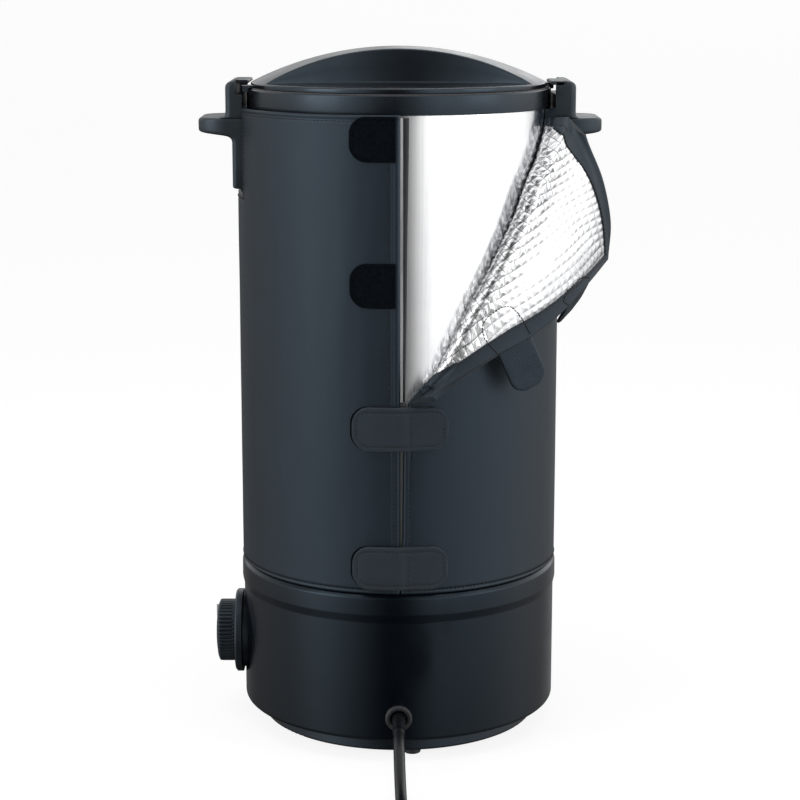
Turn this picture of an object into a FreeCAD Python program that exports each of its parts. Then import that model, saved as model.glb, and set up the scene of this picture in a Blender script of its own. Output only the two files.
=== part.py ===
"""Electric wax melter: a stainless pot with a locking lid, on a heated base, in a quilted jacket.

Frame: millimetres, +Z up, origin on the table under the pot's axis. The mains cord leaves at -Y,
the tap is at +Y and the thermostat knob is at -X.
"""
import FreeCAD, Part
import math
import os
import re

import Sketcher

Vector = FreeCAD.Vector
Rotation = FreeCAD.Rotation
Placement = FreeCAD.Placement

# ----------------------------------------------------------------------------- driving dimensions
# A number drives; a size that starts with an equals sign follows from the sizes it names.
SIZES = [
    # pot and rim
    ("pot_radius", 109.0, "outside radius of the stainless pot"),
    ("pot_wall", 1.0, "sheet thickness of the pot"),
    ("pot_floor_z", 104.0, "underside of the pot's floor"),
    ("pot_rim_z", 470.5, "top edge of the pot"),
    ("pot_corner", 6.0, "outside radius where wall meets floor"),
    ("floor_radius", "=pot_radius - 11", "radius of the floor disc's weld"),
    ("soft_gap", 0.4, "gap between a soft or curved face and its neighbour"),
    ("slip", 0.1, "clearance of a part that is pushed into another"),
    ("run", 0.05, "running clearance of a shaft in its hole"),
    ("collar_radius", "=pot_radius + 1.5", "outside radius of the rim collar"),
    ("collar_inner_radius", "=pot_radius - 2.7", "inside radius of the rim collar"),
    ("collar_low_z", "=pot_rim_z - 9.5", "lower edge of the collar"),
    ("collar_high_z", "=pot_rim_z + 4.1", "upper edge of the collar"),
    ("seal_seat_z", "=pot_rim_z + 2.3", "floor of the collar's step under the seal"),
    ("seal_high_z", "=pot_rim_z + 4.8", "top of the seal"),
    ("seal_outer_radius", "=pot_radius - 0.5", "outside radius of the seal"),
    ("seal_inner_radius", "=pot_radius - 2.4", "inside radius of the seal"),
    # lid
    ("lid_radius", "=pot_radius - 1.7", "outside radius of the lid flange"),
    ("lid_low_z", "=pot_rim_z + 4.9", "underside of the lid flange"),
    ("lid_high_z", "=lid_low_z + 3.6", "top of the flange, the floor of the finger pockets"),
    ("lid_apex_z", "=lid_high_z + 23", "top of the dome"),
    ("dome_radius", "=lid_radius - 0.9", "radius of the dome where it meets the flange"),
    ("lid_wall", 2.8, "wall of the lid moulding"),
    ("pocket_radius", 192.0, "plan radius of a finger pocket's wall"),
    ("pocket_centre", 217.0, "distance of that radius's centre from the axis"),
    ("skirt_radius", "=lid_radius - 1.7", "outside radius of the lid's plug skirt"),
    ("skirt_low_z", "=lid_low_z - 9.4", "lower edge of the plug skirt"),
    ("lug_reach", "=lid_radius + 8.1", "radius of the locking lug's tip"),
    ("lug_width", 12.0, "width of a locking lug"),
    ("lug_low_z", "=lid_low_z - 2.8", "lower edge of the lug's lip"),
    ("lug_high_z", "=lid_low_z + 1.8", "top of the lug"),
    ("lug_lip", "=collar_radius + 1.1", "inner radius of the lug's lip, outside the collar"),
    ("lug_angle", 11.3, "angle between lug and grip bar"),
    ("liner_low_z", "=lid_low_z - 8.2", "underside of the lid's inner plate"),
    ("liner_thick", 0.8, "thickness of the lid's inner plate"),
    ("boss_radius", 4.5, "screw boss under the lid"),
    ("boss_circle", "=lid_radius - 29.3", "radius at which the lid's screw bosses stand"),
    # handles
    ("handle_width", 65.0, "width of a handle, along Y"),
    ("leg_reach", "=pot_radius + 10.5", "outer face of the handle's leg"),
    ("leg_low_z", "=pot_rim_z - 67", "lower end of the leg"),
    ("grip_reach", "=leg_reach + 25", "outer end of the grip ledge"),
    ("grip_low_z", "=pot_rim_z - 27.1", "underside of the grip ledge"),
    ("grip_high_z", "=grip_low_z + 10.6", "top of the grip ledge"),
    ("tower_inner", "=collar_radius + 1.5", "inner face of the tower"),
    ("tower_outer", "=leg_reach + 6.5", "outer face of the tower"),
    ("hook_inner", "=lid_radius + 0.9", "inner edge of the hook plate"),
    ("hook_high_z", "=slot_high_z + 2.6", "top of the hook plate"),
    ("slot_low_z", "=pot_rim_z", "floor of the lug slot"),
    ("slot_high_z", "=lug_high_z + 0.5", "underside of the hook plate"),
    ("slot_reach", "=lug_reach + 1.6", "outer wall of the lug slot"),
    ("slot_end_wall", 2.5, "wall at the closed end of the slot"),
    ("hook_edge", 12.0, "where the hook plate ends, so that the lug can rise past it"),
    ("handle_screw_low_z", "=leg_low_z + 13.5", "height of the lower handle screw"),
    ("handle_screw_high_z", "=leg_low_z + 33.5", "height of the upper handle screw"),
    ("handle_screw_radius", 2.4, "shank radius of a handle screw"),
    # jacket
    ("jacket_radius", "=pot_radius + 9", "outside radius of the jacket"),
    ("jacket_low_z", "=base_high_z + soft_gap", "hem of the jacket"),
    ("jacket_high_z", "=collar_low_z - soft_gap", "top edge of the jacket"),
    ("seam_left", 1.2, "left side of the seam gap"),
    ("seam_right", 5.2, "right side of the seam gap"),
    ("opening_low_z", "=tab_top_z - 2 * tab_pitch + 16.5", "lowest point of the folded-back opening"),
    ("notch_side", 1.5, "room beside a handle in the jacket's notch"),
    ("tap_notch", 23.0, "half width of the jacket's cut-out for the tap"),
    ("flap_thick", 7.0, "thickness of the folded panel"),
    ("tab_height", 31.0, "height of a closure tab"),
    ("tab_left", -32.2, "free end of a closed tab"),
    ("tab_right", 34.6, "sewn end of a closed tab"),
    ("tab_thick", 2.2, "thickness of a tab"),
    ("tab_round", 12.0, "corner radius of a tab"),
    ("patch_thick", 1.0, "thickness of a loop patch"),
    ("patch_left", -34.2, "left end of a loop patch"),
    ("patch_right", -2.2, "right end of a loop patch"),
    ("tab_top_z", "=jacket_high_z - 15.1", "middle of the uppermost tab row"),
    ("tab_pitch", "=(jacket_high_z - jacket_low_z - 34.8) / 3", "distance from one tab row to the next"),
    # base
    ("base_radius", "=pot_radius + 6.4", "outside radius of the base shell"),
    ("base_wall", 2.0, "wall of the base shell"),
    ("base_low_z", 16.0, "lower edge of the base shell"),
    ("base_high_z", "=pot_floor_z + 21.4", "top of the base shell"),
    ("bead_radius", "=base_radius + 2.9", "radius of the bead at the top of the shell"),
    ("bead_low_z", "=base_high_z - 20.8", "where the bead leaves the wall"),
    ("lip_radius", "=post_circle + 6", "inside radius of the shell's bottom lip"),
    ("ring_radius", "=base_radius - 12.4", "outside radius of the bottom dish"),
    ("ring_low_z", 4.0, "underside of the bottom dish"),
    ("dish_thick", 2.0, "sheet thickness of the bottom dish"),
    ("foot_radius", 6.3, "radius of a rubber foot"),
    ("foot_circle", "=ring_radius - 9", "radius at which the feet stand"),
    ("foot_stem", 3.0, "radius of a foot's stem"),
    ("post_circle", "=floor_radius - 5", "radius at which the standoffs stand"),
    ("post_radius", 5.0, "radius of a standoff"),
    ("post_neck", 3.5, "radius of a standoff above the heat shield"),
    ("shield_z", 74.0, "height of the heat shield"),
    ("shield_radius", "=ring_radius + 1", "radius of the heat shield"),
    ("base_screw_radius", 1.9, "shank radius of a base screw"),
    # heater
    ("heater_radius", "=pot_radius - 25", "radius of the heater plate"),
    ("heater_thick", 10.0, "thickness of the heater plate"),
    ("element_circle", 60.0, "radius of the element's ring"),
    ("element_radius", 4.1, "radius of the element's tube"),
    ("element_sweep", 326.0, "angle that the element's ring covers"),
    ("clamp_length", "=2 * heater_radius - 34", "length of the clamp bar"),
    ("clamp_width", 18.0, "width of the clamp bar"),
    ("clamp_thick", 2.5, "thickness of the clamp bar"),
    ("stud_radius", 3.0, "radius of the clamp's stud"),
    # thermostat and knob
    ("knob_z", 63.0, "height of the knob's axis"),
    ("bezel_radius", 31.5, "outside radius of the knob's bezel"),
    ("bezel_back", "=base_radius + 3.2", "rear face of the bezel's rim, from the pot's axis"),
    ("bezel_front", "=bezel_back + 6.6", "front face of the bezel"),
    ("bezel_boss", 25.0, "radius of the bezel's boss on the shell"),
    ("bush_radius", 5.0, "radius of the thermostat's threaded bush"),
    ("bush_front", "=bezel_front + 2.4", "front end of that bush"),
    ("knob_radius", 23.5, "radius of the knob"),
    ("knob_back", "=bezel_front + 0.5", "rear face of the knob"),
    ("knob_shoulder", "=knob_back + 11.5", "where the knob's face begins"),
    ("knob_front", "=knob_shoulder + 3", "crown of the knob's face"),
    ("knob_ribs", 48, "number of grip grooves round the knob"),
    ("shaft_radius", 3.0, "radius of the thermostat's shaft"),
    ("shaft_front", "=knob_back + 9.9", "front end of that shaft"),
    ("stat_front", "=base_radius - 6.8", "front face of the thermostat's case"),
    ("stat_depth", 23.0, "depth of the thermostat's case"),
    ("stat_width", 36.0, "width of the thermostat's case"),
    ("lens_radius", 2.0, "radius of the pilot lens"),
    ("lens_circle", 27.5, "distance of the pilot lens from the knob's axis"),
    # mains inlet and cord
    ("cord_radius", 4.0, "radius of the mains cord"),
    ("inlet_z", 34.0, "height at which the cord leaves the shell"),
    ("grommet_radius", 9.7, "flange radius of the grommet"),
    ("grommet_neck", 7.4, "neck radius of the grommet"),
    ("grommet_proud", 4.0, "how far the grommet stands out of the shell"),
    ("coil_radius", 50.0, "outside radius of the wound cord"),
    ("coil_hole", 34.0, "inside radius of the wound cord"),
    ("coil_height", 24.0, "height of the wound cord"),
    ("coil_x", 49.0, "place of the coil's centre along X"),
    ("coil_y", -306.0, "place of the coil's centre along Y"),
    # tap
    ("tap_z", 150.0, "height of the tap's axis"),
    ("shank_radius", 10.4, "radius of the tap's threaded shank"),
    ("washer_radius", 15.0, "radius of the tap's washers"),
    ("flange_start", "=pot_radius + 3.2", "inner face of the tap's flange"),
    ("flange_radius", 16.0, "radius of the tap's flange"),
    ("barrel_radius", 13.0, "radius of the tap's barrel"),
    ("barrel_end", "=ball_y + 23", "outer end of the tap's barrel"),
    ("bore_radius", 6.0, "radius of the wax way"),
    ("ball_y", "=jacket_radius + 23", "place of the tap's ball along Y"),
    ("ball_radius", 10.0, "radius of the tap's ball"),
    ("spout_radius", 8.0, "outside radius of the spout pipe"),
    ("spout_bend", 20.0, "bend radius of the spout"),
    ("spout_drop", 18.0, "straight length of the spout below its bend"),
    ("lever_z", "=tap_z + 28", "underside of the tap's lever"),
    ("lever_length", 62.0, "length of the tap's lever from its pivot"),
    ("lever_width", 13.0, "width of the tap's lever"),
    ("lever_thick", 2.5, "thickness of the tap's lever"),
]

# The route of the free cord: out of the grommet, down to the table and round to the coil.
CORD_ROUTE = [
    (0.0, -119.5, 34.0), (0.0, -146.0, 34.0), (0.6, -173.0, 18.6), (1.6, -200.0, 5.6),
    (2.6, -226.0, 4.2), (3.0, -252.0, 4.0), (3.0, -278.2, 4.0),
]
# The short end of cord from the coil to the plug.
CORD_TAIL_ROUTE = [
    (76.8, -352.0, 12.0), (98.0, -352.0, 9.6), (120.0, -353.4, 5.6), (142.0, -357.0, 6.6),
    (163.0, -360.0, 10.5), (183.0, -360.0, 10.5),
]
PLUG_START = (183.2, -360.0, 10.5)

# The folded panel: where it folds, and where its free edge runs, from the seam up to the top hem.
FOLD_LINE = [
    (11.0, 268.0), (23.5, 287.0), (33.5, 306.0), (46.5, 330.0), (61.5, 353.0), (82.0, 384.0),
    (97.0, 408.0), (110.0, 426.0), (122.0, 444.0), (131.0, 455.0),
]
FREE_EDGE = [
    (21.0, -124.0, 272.0), (43.5, -119.0, 285.0), (68.0, -110.0, 298.0), (89.0, -98.0, 307.0),
    (110.0, -82.0, 320.0), (131.0, -58.0, 337.0), (150.0, -26.0, 352.0), (153.0, -25.0, 380.0),
    (146.0, -29.0, 412.0), (130.0, -36.0, 442.0),
]
# The radius and the ends of the opening that both lists were drawn for; they stretch with the jacket.
PANEL_RADIUS = 118.0
PANEL_LOW_Z = 262.0
PANEL_TOP_Z = 460.6
# The two open tabs: the stretch of the free edge that each is sewn to, and which way its end hangs.
OPEN_TABS = [(1, 4.35, 5.2, (0.10, 30.0, -14.0), 1.3), (2, 1.9, 3.0, (15.0, 8.0, -30.0), 0.9)]

LID_SCREW_ANGLES = (50, 130, 230, 310)
FOOT_ANGLES = (-84, 6, 96, 186)
POST_ANGLES = (45, 135, 225, 315)
VENT_ANGLES = (25, 85, 145, 205, 265, 325)

TAP_WAY = Rotation(Vector(1, 0, 0), -90)
CORD_WAY = Rotation(Vector(1, 0, 0), 90)
KNOB_WAY = Rotation(Vector(0, 1, 0), -90)
OUTWARD = Rotation(Vector(0, 1, 0), 90)
UPRIGHT = Rotation()

doc = FreeCAD.newDocument("WaxMelter")
sheet = doc.addObject("Spreadsheet::Sheet", "Sizes")
for row, (word, number, meaning) in enumerate(SIZES, start=1):
    sheet.set(f"A{row}", meaning)
    sheet.set(f"B{row}", str(number))
    sheet.setAlias(f"B{row}", word)
doc.recompute()
WORDS = {word for word, number, meaning in SIZES}
nodes = []


# ----------------------------------------------------------------------------- helpers
def bound(text):
    """The expression with each driving dimension written as a cell of the sheet."""
    def cell(found):
        word = found.group(0)
        return "Sizes." + word if word in WORDS else word
    return re.sub(r"[A-Za-z_]\w*", cell, str(text))


def value(text):
    """The number that an expression in driving dimensions has now."""
    return float(sheet.evalExpression(bound(text)))


def keep(piece, label):
    """Make a document object a sub-part that is exported under this name."""
    piece.Label = label
    nodes.append(piece)
    return piece


def place(piece, at=("0", "0", "0"), turn=UPRIGHT):
    """Put an object at a bound position, turned by a fixed rotation."""
    piece.Placement = Placement(Vector(), turn)
    for axis, text in zip("xyz", at):
        piece.setExpression("Placement.Base." + axis, bound(text))
    return piece


def primitive(kind, sizes, at=("0", "0", "0"), turn=UPRIGHT):
    """A Part primitive with bound sizes and place."""
    piece = doc.addObject("Part::" + kind, kind)
    for name, text in sizes.items():
        piece.setExpression(name, bound(text))
    return place(piece, at, turn)


def rod(radius, length, at=("0", "0", "0"), turn=UPRIGHT):
    return primitive("Cylinder", {"Radius": radius, "Height": length}, at, turn)


def block(size_x, size_y, size_z, at, turn=UPRIGHT):
    return primitive("Box", {"Length": size_x, "Width": size_y, "Height": size_z}, at, turn)


def ball(radius, at):
    return primitive("Sphere", {"Radius": radius}, at)


def hexagon(flats, height, at, turn=UPRIGHT):
    """A hexagonal prism, sized across its flats."""
    piece = primitive("Prism", {"Circumradius": f"({flats}) / 2 / cos(30)", "Height": height}, at, turn)
    piece.Polygon = 6
    return piece


def cut(base, *tools):
    """The base with every tool taken away."""
    piece = doc.addObject("Part::Cut", "Cut")
    piece.Base = base
    piece.Tool = tools[0] if len(tools) == 1 else fuse(*tools)
    return piece


def fuse(*parts):
    piece = doc.addObject("Part::MultiFuse", "Fusion")
    piece.Shapes = list(parts)
    return piece


def common(*parts):
    piece = doc.addObject("Part::MultiCommon", "Common")
    piece.Shapes = list(parts)
    return piece


def group(*parts):
    """Separate solids that share one node."""
    piece = doc.addObject("Part::Compound", "Group")
    piece.Links = list(parts)
    return piece


def new_body(label):
    body = doc.addObject("PartDesign::Body", "Body_" + label)
    body.Label = "body " + label
    return body


def new_sketch(body, role):
    """An empty sketch on one of the body's own origin planes."""
    sketch = body.newObject("Sketcher::SketchObject", "Sketch")
    plane = [item for item in body.Origin.OriginFeatures if item.Role == role][0]
    sketch.AttachmentSupport = [(plane, "")]
    sketch.MapMode = "FlatFace"
    return sketch


def hold(sketch, geometry, point, across, up):
    """Tie a sketch point to bound distances from the origin."""
    for kind, text, axis in (("DistanceX", across, -2), ("DistanceY", up, -1)):
        number = value(text)
        if abs(number) < 1e-9:
            sketch.addConstraint(Sketcher.Constraint("PointOnObject", geometry, point, axis))
            continue
        index = sketch.addConstraint(Sketcher.Constraint(kind, -1, 1, geometry, point, number))
        name = f"{kind}_{index}"
        sketch.renameConstraint(index, name)
        sketch.setExpression("Constraints." + name, bound(text))


def outline(sketch, corners):
    """A closed outline of straight sides; a corner (x, y, radius) ends an arc that bulges outward."""
    here = [Vector(value(corner[0]), value(corner[1]), 0) for corner in corners]
    count = len(corners)
    ends = []
    for index, corner in enumerate(corners):
        start, stop = here[index - 1], here[index]
        if len(corner) == 3:
            radius = value(corner[2])
            middle, along = (start + stop) * 0.5, stop - start
            rise = math.sqrt(radius ** 2 - (along.Length / 2) ** 2)
            normal = Vector(-along.y, along.x, 0).normalize()
            centre = middle + normal * rise
            peak = centre - normal * radius
            side = sketch.addGeometry(Part.Arc(start, peak, stop), False)
            first, last = (1, 2) if sketch.Geometry[side].StartPoint.distanceToPoint(start) < 1e-6 else (2, 1)
            bend = sketch.addConstraint(Sketcher.Constraint("Radius", side, radius))
            sketch.renameConstraint(bend, f"Radius_{bend}")
            sketch.setExpression(f"Constraints.Radius_{bend}", bound(corner[2]))
        else:
            side = sketch.addGeometry(Part.LineSegment(start, stop), False)
            first, last = 1, 2
        ends.append((side, first, last))
    for index in range(count):
        side, first, last = ends[index]
        before = ends[index - 1]
        sketch.addConstraint(Sketcher.Constraint("Coincident", before[0], before[2], side, first))
        hold(sketch, side, last, corners[index][0], corners[index][1])


def circle(sketch, across, up, radius):
    """A bound circle in a sketch."""
    centre = Vector(value(across), value(up), 0)
    ring = sketch.addGeometry(Part.Circle(centre, Vector(0, 0, 1), value(radius)), False)
    hold(sketch, ring, 3, across, up)
    index = sketch.addConstraint(Sketcher.Constraint("Radius", ring, value(radius)))
    sketch.renameConstraint(index, f"Radius_{index}")
    sketch.setExpression(f"Constraints.Radius_{index}", bound(radius))


def turned(label, corners, at=("0", "0", "0"), turn=UPRIGHT):
    """A body of revolution about its local Z, from (radius, height) corners."""
    body = new_body(label)
    sketch = new_sketch(body, "XZ_Plane")
    outline(sketch, corners)
    feature = body.newObject("PartDesign::Revolution", "Revolution")
    feature.Profile = sketch
    feature.ReferenceAxis = (sketch, ["V_Axis"])
    feature.Angle = 360
    return place(body, at, turn)


def washer(label, inner, outer, low, high, at=("0", "0", "0"), turn=UPRIGHT):
    """A plain ring."""
    return turned(label, [(inner, low), (outer, low), (outer, high), (inner, high)], at, turn)


def extruded(label, role, corners, length, at=("0", "0", "0"), turn=UPRIGHT):
    """A body padded to both sides of a sketch plane."""
    body = new_body(label)
    sketch = new_sketch(body, role)
    outline(sketch, corners)
    feature = body.newObject("PartDesign::Pad", "Pad")
    feature.Profile = sketch
    feature.Midplane = True
    feature.setExpression("Length", bound(length))
    return place(body, at, turn)


def drilled(body, role, holes, depth, both_ways=False):
    """Pocket circles (across, up, radius) into a body, and see that metal went."""
    doc.recompute()
    before = body.Shape.Volume
    sketch = new_sketch(body, role)
    for across, up, radius in holes:
        circle(sketch, across, up, radius)
    feature = body.newObject("PartDesign::Pocket", "Pocket")
    feature.Profile = sketch
    feature.Midplane = both_ways
    feature.setExpression("Length", bound(depth))
    doc.recompute()
    if body.Shape.Volume >= before - 1e-6:
        raise RuntimeError(body.Label + ": a pocket removed nothing")
    return body


def rounded(body, radius, wanted):
    """Fillet the edges of a body that the test accepts."""
    doc.recompute()
    plain = body.Tip
    names = [f"Edge{n}" for n, edge in enumerate(plain.Shape.Edges, start=1) if wanted(edge)]
    if not names:
        raise RuntimeError(body.Label + ": no edge to round")
    feature = body.newObject("PartDesign::Fillet", "Fillet")
    feature.Base = (plain, names)
    feature.setExpression("Radius", bound(radius))
    doc.recompute()
    return body


def hoop_at(radius, height):
    """Test for a circular edge about the axis at a radius and height."""
    far, level = value(radius), value(height)

    def test(edge):
        line = edge.Curve
        is_circle = isinstance(line, Part.Circle)
        return is_circle and abs(line.Radius - far) < 0.01 and abs(edge.BoundBox.ZMin - level) < 0.01
    return test


def post_at(across, up):
    """Test for a straight edge along Y through a point (x, z)."""
    there_x, there_z = value(across), value(up)

    def test(edge):
        box = edge.BoundBox
        flat = box.XLength < 1e-6 and box.ZLength < 1e-6
        return flat and abs(box.XMin - there_x) < 0.01 and abs(box.ZMin - there_z) < 0.01
    return test


def around(radius, angle, height):
    """A bound place on a circle about the axis."""
    return (f"({radius}) * cos({angle})", f"({radius}) * sin({angle})", height)


def made(shape, label):
    """A sub-part whose shape is worked out here, from numbers of the sheet."""
    piece = doc.addObject("Part::Feature", "Made")
    piece.Shape = shape
    piece.Placement = Placement()
    return keep(piece, label)


def faceted(rings):
    """A closed solid through rings of points that all have the same count."""
    def triangle(*corners):
        return Part.Face(Part.makePolygon([*corners, corners[0]]))

    faces = []
    count = len(rings[0])
    for near, far in zip(rings, rings[1:]):
        for index in range(count):
            after = (index + 1) % count
            faces.append(triangle(near[index], near[after], far[after]))
            faces.append(triangle(near[index], far[after], far[index]))
    for ring in (rings[0], rings[-1]):
        for index in range(1, count - 1):
            faces.append(triangle(ring[0], ring[index], ring[index + 1]))
    solid = Part.makeSolid(Part.makeShell(faces))
    if solid.Volume < 0:
        solid.reverse()
    return solid


def route(points):
    """Straight runs joined by tangent arcs as large as the runs allow, and their smallest radius."""
    corners = [Vector(*point) for point in points]
    edges = []
    here = corners[0]
    radii = []
    for before, corner, after in zip(corners, corners[1:], corners[2:]):
        into, out = (corner - before), (after - corner)
        turn = into.getAngle(out)
        reach = 0.45 * min(into.Length, out.Length)
        into.normalize()
        out.normalize()
        radii.append(reach / math.tan(turn / 2))
        start, stop = corner - into * reach, corner + out * reach
        inward = (out - into).normalize()
        centre = corner + inward * (radii[-1] / math.cos(turn / 2))
        middle = centre - inward * radii[-1]
        edges.append(Part.LineSegment(here, start).toShape())
        edges.append(Part.Arc(start, middle, stop).toShape())
        here = stop
    edges.append(Part.LineSegment(here, corners[-1]).toShape())
    return Part.Wire(edges), min(radii)


def tube(points, radius, label):
    """A round tube along a route, checked against its section times its length."""
    path, tightest = route(points)
    first = Vector(*points[1]) - Vector(*points[0])
    section = Part.Wire([Part.makeCircle(radius, Vector(*points[0]), first)])
    solid = path.makePipeShell([section], True, False)
    share = solid.Volume / (math.pi * radius ** 2 * path.Length)
    print(f"{label}: {path.Length:.1f} mm long, tightest radius {tightest:.1f} mm, volume ratio {share:.4f}")
    return solid


# ----------------------------------------------------------------------------- pot and rim
def make_pot():
    """The rolled wall with its turned-in corner, and the floor disc welded into it."""
    inner = "pot_radius - pot_wall"
    body = turned("pot", [
        ("floor_radius", "pot_floor_z"), ("pot_radius", "pot_floor_z"), ("pot_radius", "pot_rim_z"),
        (inner, "pot_rim_z"), (inner, "pot_floor_z + pot_wall"), ("floor_radius", "pot_floor_z + pot_wall")])
    rounded(body, "pot_corner - pot_wall", hoop_at(inner, "pot_floor_z + pot_wall"))
    rounded(body, "pot_corner", hoop_at("pot_radius", "pot_floor_z"))
    drilled(body, "XZ_Plane", [("0", "tap_z", "shank_radius + slip")], "pot_radius + 10")
    hole = "handle_screw_radius + slip"
    drilled(body, "YZ_Plane", [("0", "handle_screw_low_z", hole), ("0", "handle_screw_high_z", hole)],
            "2 * pot_radius + 20", both_ways=True)
    keep(body, "pot")
    keep(rod("floor_radius - run", "pot_wall", ("0", "0", "pot_floor_z")), "pot_floor")


def make_collar():
    channel_in, channel_out = "pot_radius - pot_wall - slip", "pot_radius + slip"
    channel_top = "pot_rim_z + slip"
    seat = "seal_outer_radius + soft_gap"
    body = turned("pot_collar", [
        ("collar_inner_radius", "collar_low_z"), (channel_in, "collar_low_z"), (channel_in, channel_top),
        (channel_out, channel_top), (channel_out, "collar_low_z"), ("collar_radius", "collar_low_z"),
        ("collar_radius", "collar_high_z"), (seat, "collar_high_z"), (seat, "seal_seat_z"),
        ("collar_inner_radius", "seal_seat_z")])
    rounded(body, "0.5", hoop_at("collar_radius", "collar_high_z"))
    keep(body, "pot_collar")


# ----------------------------------------------------------------------------- lid
def dome_bar(inset, low):
    """The domed bar between the finger pockets, drawn in by an inset on every side."""
    rise = "(lid_apex_z - lid_high_z)"
    sphere_radius = f"((dome_radius ^ 2 + {rise} ^ 2) / (2 * {rise}))"
    cap = ball(f"{sphere_radius} - {inset}", ("0", "0", f"lid_apex_z - {sphere_radius}"))
    drum = rod(f"dome_radius - {inset}", f"lid_apex_z - ({low}) + 1", ("0", "0", low))
    pockets = [
        rod(f"pocket_radius + {inset}", "60", ("0", f"{side} * pocket_centre", f"({low}) - 1"))
        for side in (-1, 1)]
    return cut(common(cap, drum), *pockets)


def lid_lug(sign):
    """A locking lug: a flat arm past the collar with a lip that hangs outside it."""
    turn = Rotation(Vector(0, 0, 1), value("lug_angle") + (0 if sign > 0 else 180))
    half = "lug_width / 2"

    def sector(inner, outer, low, high):
        ring = washer("lug", inner, outer, low, high)
        lane = block("lug_reach + 5", "lug_width", "10", ("0", f"0 - {half}", "lug_low_z - 2"))
        return common(ring, lane)
    arm = sector("lid_radius - 3", "lug_reach", "lid_low_z", "lug_high_z")
    lip = sector("lug_lip", "lug_reach", "lug_low_z", "lug_high_z - 0.5")
    lug = fuse(arm, lip)
    return place(lug, turn=turn)


def make_lid():
    flange = turned("lid flange", [
        ("0", "lid_low_z"), ("lid_radius", "lid_low_z"), ("lid_radius", "lid_high_z"), ("0", "lid_high_z")])
    rounded(flange, "0.9", hoop_at("lid_radius", "lid_high_z"))
    skirt = washer("lid skirt", "skirt_radius - 2", "skirt_radius", "skirt_low_z", "lid_low_z + 1")
    bosses, pilots = [], []
    for angle in LID_SCREW_ANGLES:
        low = "liner_low_z + liner_thick"
        bosses.append(rod("boss_radius", f"lid_low_z + 1 - ({low})", around("boss_circle", angle, low)))
        below = around("boss_circle", angle, "liner_low_z")
        pilots.append(rod("1.6", "lid_low_z + 1.6 - liner_low_z", below))
    whole = fuse(flange, dome_bar("0", "lid_high_z - 1"), skirt, lid_lug(1), lid_lug(-1))
    hollow = dome_bar("lid_wall", "lid_low_z - 0.5")
    keep(cut(fuse(cut(whole, hollow), *bosses), *pilots), "lid_shell")

    holes = [rod("1.9", "4", around("boss_circle", angle, "liner_low_z - 1")) for angle in LID_SCREW_ANGLES]
    disc = rod("skirt_radius - 2 - slip", "liner_thick", ("0", "0", "liner_low_z"))
    keep(cut(disc, *holes), "lid_inner_plate")

    screws = []
    for angle in LID_SCREW_ANGLES:
        head = rod("3.4", "1.9", around("boss_circle", angle, "liner_low_z - 1.9"))
        shank = rod("1.5", "8", around("boss_circle", angle, "liner_low_z - 0.1"))
        screws.append(fuse(head, shank))
    keep(group(*screws), "lid_screws")
    keep(washer("lid_seal", "seal_inner_radius", "seal_outer_radius", "seal_seat_z + slip", "seal_high_z"),
         "lid_seal")


# ----------------------------------------------------------------------------- handles
def make_handle(label, sign):
    """One moulding: leg on the pot wall, grip ledge, and tower with the hook over the lid's lug."""
    turn = Rotation(Vector(0, 0, 1), 0 if sign > 0 else 180)
    leg_inner = "pot_radius - 8"
    body = extruded(label, "XZ_Plane", [
        (leg_inner, "leg_low_z"), ("leg_reach", "leg_low_z"), ("leg_reach", "grip_low_z"),
        ("grip_reach", "grip_low_z"), ("grip_reach", "grip_high_z"), ("tower_outer", "grip_high_z"),
        ("tower_outer", "hook_high_z"), ("hook_inner", "hook_high_z"), ("hook_inner", "slot_high_z"),
        ("tower_inner", "slot_high_z"), ("tower_inner", "collar_low_z - soft_gap"),
        (leg_inner, "collar_low_z - soft_gap")], "handle_width", turn=turn)
    for across, up, radius in (
            ("grip_reach", "grip_low_z", "2"), ("grip_reach", "grip_high_z", "2"),
            ("tower_outer", "hook_high_z", "3"), ("tower_outer", "grip_high_z", "3"),
            ("hook_inner", "hook_high_z", "1.2"), ("leg_reach", "grip_low_z", "2")):
        rounded(body, radius, post_at(across, up))
    low_y, high_y = "0 - handle_width / 2 + slot_end_wall", "handle_width / 2 + 1"
    slot = block("slot_reach - 100", f"({high_y}) - ({low_y})", "slot_high_z - slot_low_z",
                 (f"{sign} * 100", f"{sign} * ({low_y})", "slot_low_z"), turn)
    notch = block("slot_reach - 100", f"({high_y}) - hook_edge", "20",
                  (f"{sign} * 100", f"{sign} * hook_edge", "slot_low_z"), turn)
    pot_room = rod("pot_radius + soft_gap", "100", ("0", "0", "leg_low_z - 10"))
    outward = OUTWARD if sign > 0 else KNOB_WAY
    bores = [
        rod("handle_screw_radius + slip", "14", (f"{sign} * (pot_radius - 5)", "0", height), outward)
        for height in ("handle_screw_low_z", "handle_screw_high_z")]
    keep(cut(body, slot, notch, pot_room, *bores), label)


def make_handle_screws():
    """Two screws a side, their pan heads inside the pot."""
    screws = []
    for sign, way in ((1, OUTWARD), (-1, KNOB_WAY)):
        for height in ("handle_screw_low_z", "handle_screw_high_z"):
            seat = "pot_radius - pot_wall - 2 * slip"
            head = rod("4.4", "2.6", (f"{sign} * ({seat} - 2.6)", "0", height), way)
            shank = rod("handle_screw_radius", "9.4", (f"{sign} * ({seat})", "0", height), way)
            screws.append(fuse(head, shank))
    keep(group(*screws), "handle_screws")


# ----------------------------------------------------------------------------- jacket
def panel_height(drawn_z):
    """Height of a point of the panel, from the height it was drawn at."""
    share = (drawn_z - PANEL_LOW_Z) / (PANEL_TOP_Z - PANEL_LOW_Z)
    return value("opening_low_z") + share * (value("jacket_high_z") - value("opening_low_z"))


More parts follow.
